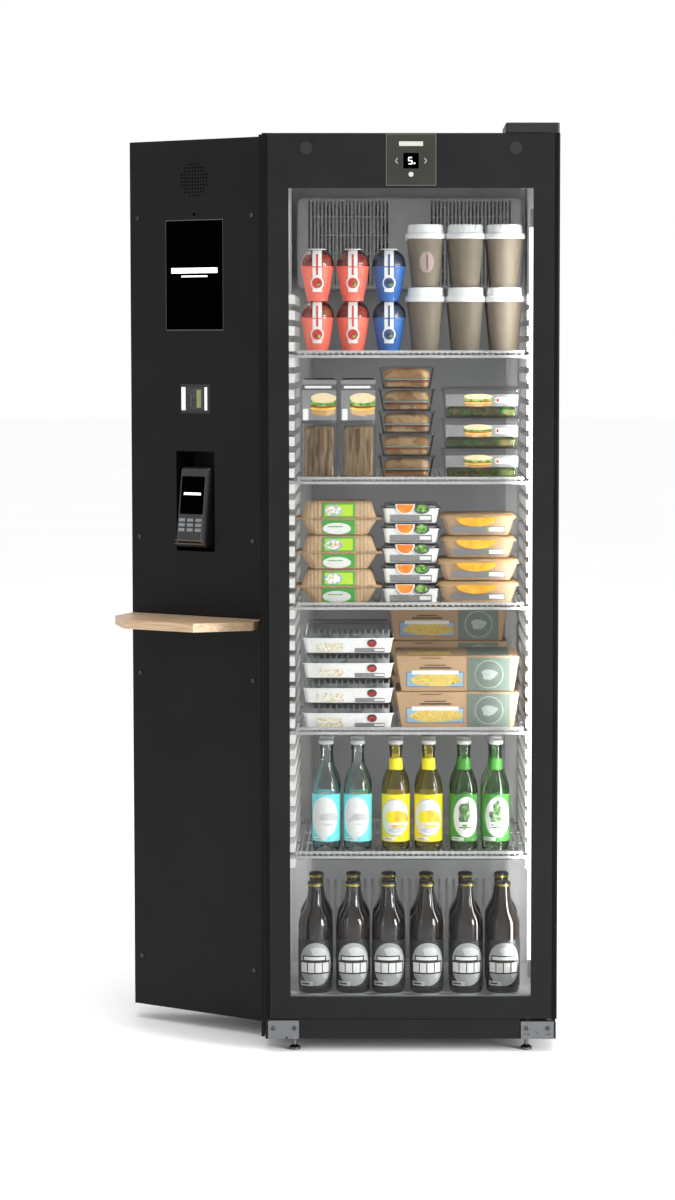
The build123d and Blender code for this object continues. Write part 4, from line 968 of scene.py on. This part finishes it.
def add_dark_bottles(piece, base):
    for at, *_ in rows_of(base, (-197, -119, -45, 34, 116, 192), (112, 224)):
        side = round_side(BEER, at)
        piece.turned(BEER, at, "brown_glass")
        piece.turned(BEER_CAP, at, "black")
        piece.turned([(14.6, 220.6), (16.4, 221.6), (16.4, 224.6), (15, 226)], at, "gold", 36)
        piece.patch(-52, 52, 14, 112, side, "label_black", 0.4, 24, 4)
        piece.spot(disc(76, 90), (2, 62), side, "silver", 0.8, 6)
        piece.spot(disc(60, 72, 20, -60, 180), (6, 62), side, "pale_silver", 1.1, 6)
        piece.patch(-27, 25, 69, 80, side, "black", 1.5, 16, 1)
        piece.patch(-24, 22, 71, 77.5, side, "white", 1.9, 16, 1)
        piece.patch(-35, 35, 42, 69, side, "black", 1.5, 16, 1)
        piece.patch(-32, 32, 45, 65, side, "white", 1.9, 16, 1)
        for u in (-16, 0, 16):
            piece.patch(u - 1, u + 1, 45, 65, side, "black", 2.3, 1, 1)
        piece.patch(-34, -4, 17, 26, side, "pale_silver", 1.0, 6, 1)
        piece.patch(-31, -12, 20, 23, side, "label_black", 1.4, 4, 1)


# what adds the stock: the name of the piece, the shelf under it and its material slot
STOCK = {
    add_fruit_cups: ("stock_fruit_cups", 5, "cover_white"),
    add_coffee_cups: ("stock_coffee_cups", 5, "cover_white"),
    add_wedge_packs: ("stock_sandwich_wedges", 4, "cover_white"),
    add_roll_boxes: ("stock_roll_boxes", 4, "cover_white"),
    add_sleeve_trays: ("stock_sleeve_trays", 4, "cover_white"),
    add_clamshells: ("stock_clamshells", 3, "foam"),
    add_soup_trays: ("stock_soup_trays", 3, "cover_white"),
    add_kraft_bowls: ("stock_kraft_bowls", 3, "foam"),
    add_lidded_trays: ("stock_lidded_trays", 2, "cover_white"),
    add_noodle_boxes: ("stock_noodle_boxes", 2, "foam"),
    add_soft_drinks: ("stock_soft_drinks", 1, "glass_clear"),
    add_dark_bottles: ("stock_dark_bottles", 0, "glass_clear"),
}


def add_stock():
    """Each kind of food or drink, as one piece on its shelf."""
    palette = make_stock_looks()
    for add, (name, shelf, slot) in STOCK.items():
        piece = Piece(name, palette)
        add(piece, standing_on(shelf))
        piece.finish("cabinet")


# ---- camera, floor and light ----
def add_camera():
    """Long lens, standing straight in front of the fridge and looking slightly down."""
    aside, distance, height, down = 0.0414, 6.328, 1.432, 4.555
    data = bpy.data.cameras.new("camera")
    data.lens = 94.3
    data.sensor_width = 36
    data.shift_x = -0.044
    camera = bpy.data.objects.new("camera", data)
    camera.location = (MID_X - aside, FRONT_Y - distance, height)
    camera.rotation_euler = (math.radians(90 - down), 0, 0)
    bpy.context.collection.objects.link(camera)
    bpy.context.scene.camera = camera


def add_floor():
    """Round pale floor, much larger than the object."""
    mesh = bpy.data.meshes.new("floor")
    shape = bmesh.new()
    bmesh.ops.create_circle(shape, cap_ends=True, segments=128, radius=60)
    shape.to_mesh(mesh)
    shape.free()
    floor = bpy.data.objects.new("floor", mesh)
    look = Look("floor_paint", "f4f4f4", 0.6)
    look.tint(look.noise(0.8, 3), [(0.3, "fafafa"), (0.7, "fdfdfd")])
    mesh.materials.append(look.mat)
    bpy.context.collection.objects.link(floor)


def add_lamp(name, place, aim, size, power):
    """White rectangular lamp that faces its aim."""
    data = bpy.data.lights.new(name, "AREA")
    data.shape = "RECTANGLE"
    data.size, data.size_y = size
    data.energy = power
    lamp = bpy.data.objects.new(name, data)
    lamp.location = place
    lamp.rotation_euler = (Vector(aim) - Vector(place)).to_track_quat("-Z", "Y").to_euler()
    bpy.context.collection.objects.link(lamp)


def add_studio():
    """White surroundings, a strong soft key from the right, a soft top light and a weak one from the left."""
    scene = bpy.context.scene
    scene.view_settings.view_transform = "Standard"
    scene.cycles.transparent_max_bounces = 32
    world = bpy.data.worlds.new("studio")
    world.use_nodes = True
    back = world.node_tree.nodes["Background"]
    back.inputs["Color"].default_value = (1, 1, 1, 1)
    back.inputs["Strength"].default_value = 1.0
    scene.world = world
    middle = (MID_X, 0, 1.0)
    add_lamp("key", (MID_X + 5.5, -4.2, 1.9), middle, size=(2.2, 3.0), power=850)
    add_lamp("top", (MID_X, -1.0, 4.6), middle, size=(3.0, 3.0), power=90)
    add_lamp("rim", (MID_X - 3.6, -4.4, 1.5), middle, size=(0.5, 3.0), power=40)


def add_cabinet_light():
    """A slim lamp along the light strip, and fills that stand for its light bouncing off the liner."""
    lo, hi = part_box("led_diffuser")
    place = (lo.x - 0.004, (lo.y + hi.y) / 2, (lo.z + hi.z) / 2)
    aim = (MID_X - 0.1, 0.1, place[2])
    add_lamp("strip", place, aim, size=(0.012, hi.z - lo.z), power=3.0)
    middle, tall = 0.94, 1.62
    behind_glass, between_rows, behind_rows = (FRONT_Y + d for d in (0.064, 0.28, 0.36))
    add_lamp("front_fill", (MID_X, behind_glass, middle), (MID_X, 0.3, middle), size=(0.47, tall), power=0.4)
    add_lamp("back_fill", (MID_X, behind_rows, middle), (MID_X, 0.5, middle), size=(0.44, tall), power=0.95)
    for side in (-1, 1):
        place = (MID_X + side * 0.205, between_rows, middle)
        aim = (MID_X + side, between_rows, middle)
        add_lamp(f"side_fill_{side + 2}", place, aim, size=(0.36, tall), power=0.98)


make_frame_looks()
add_trim()
add_stock()
add_camera()
add_floor()
add_studio()
add_cabinet_light()
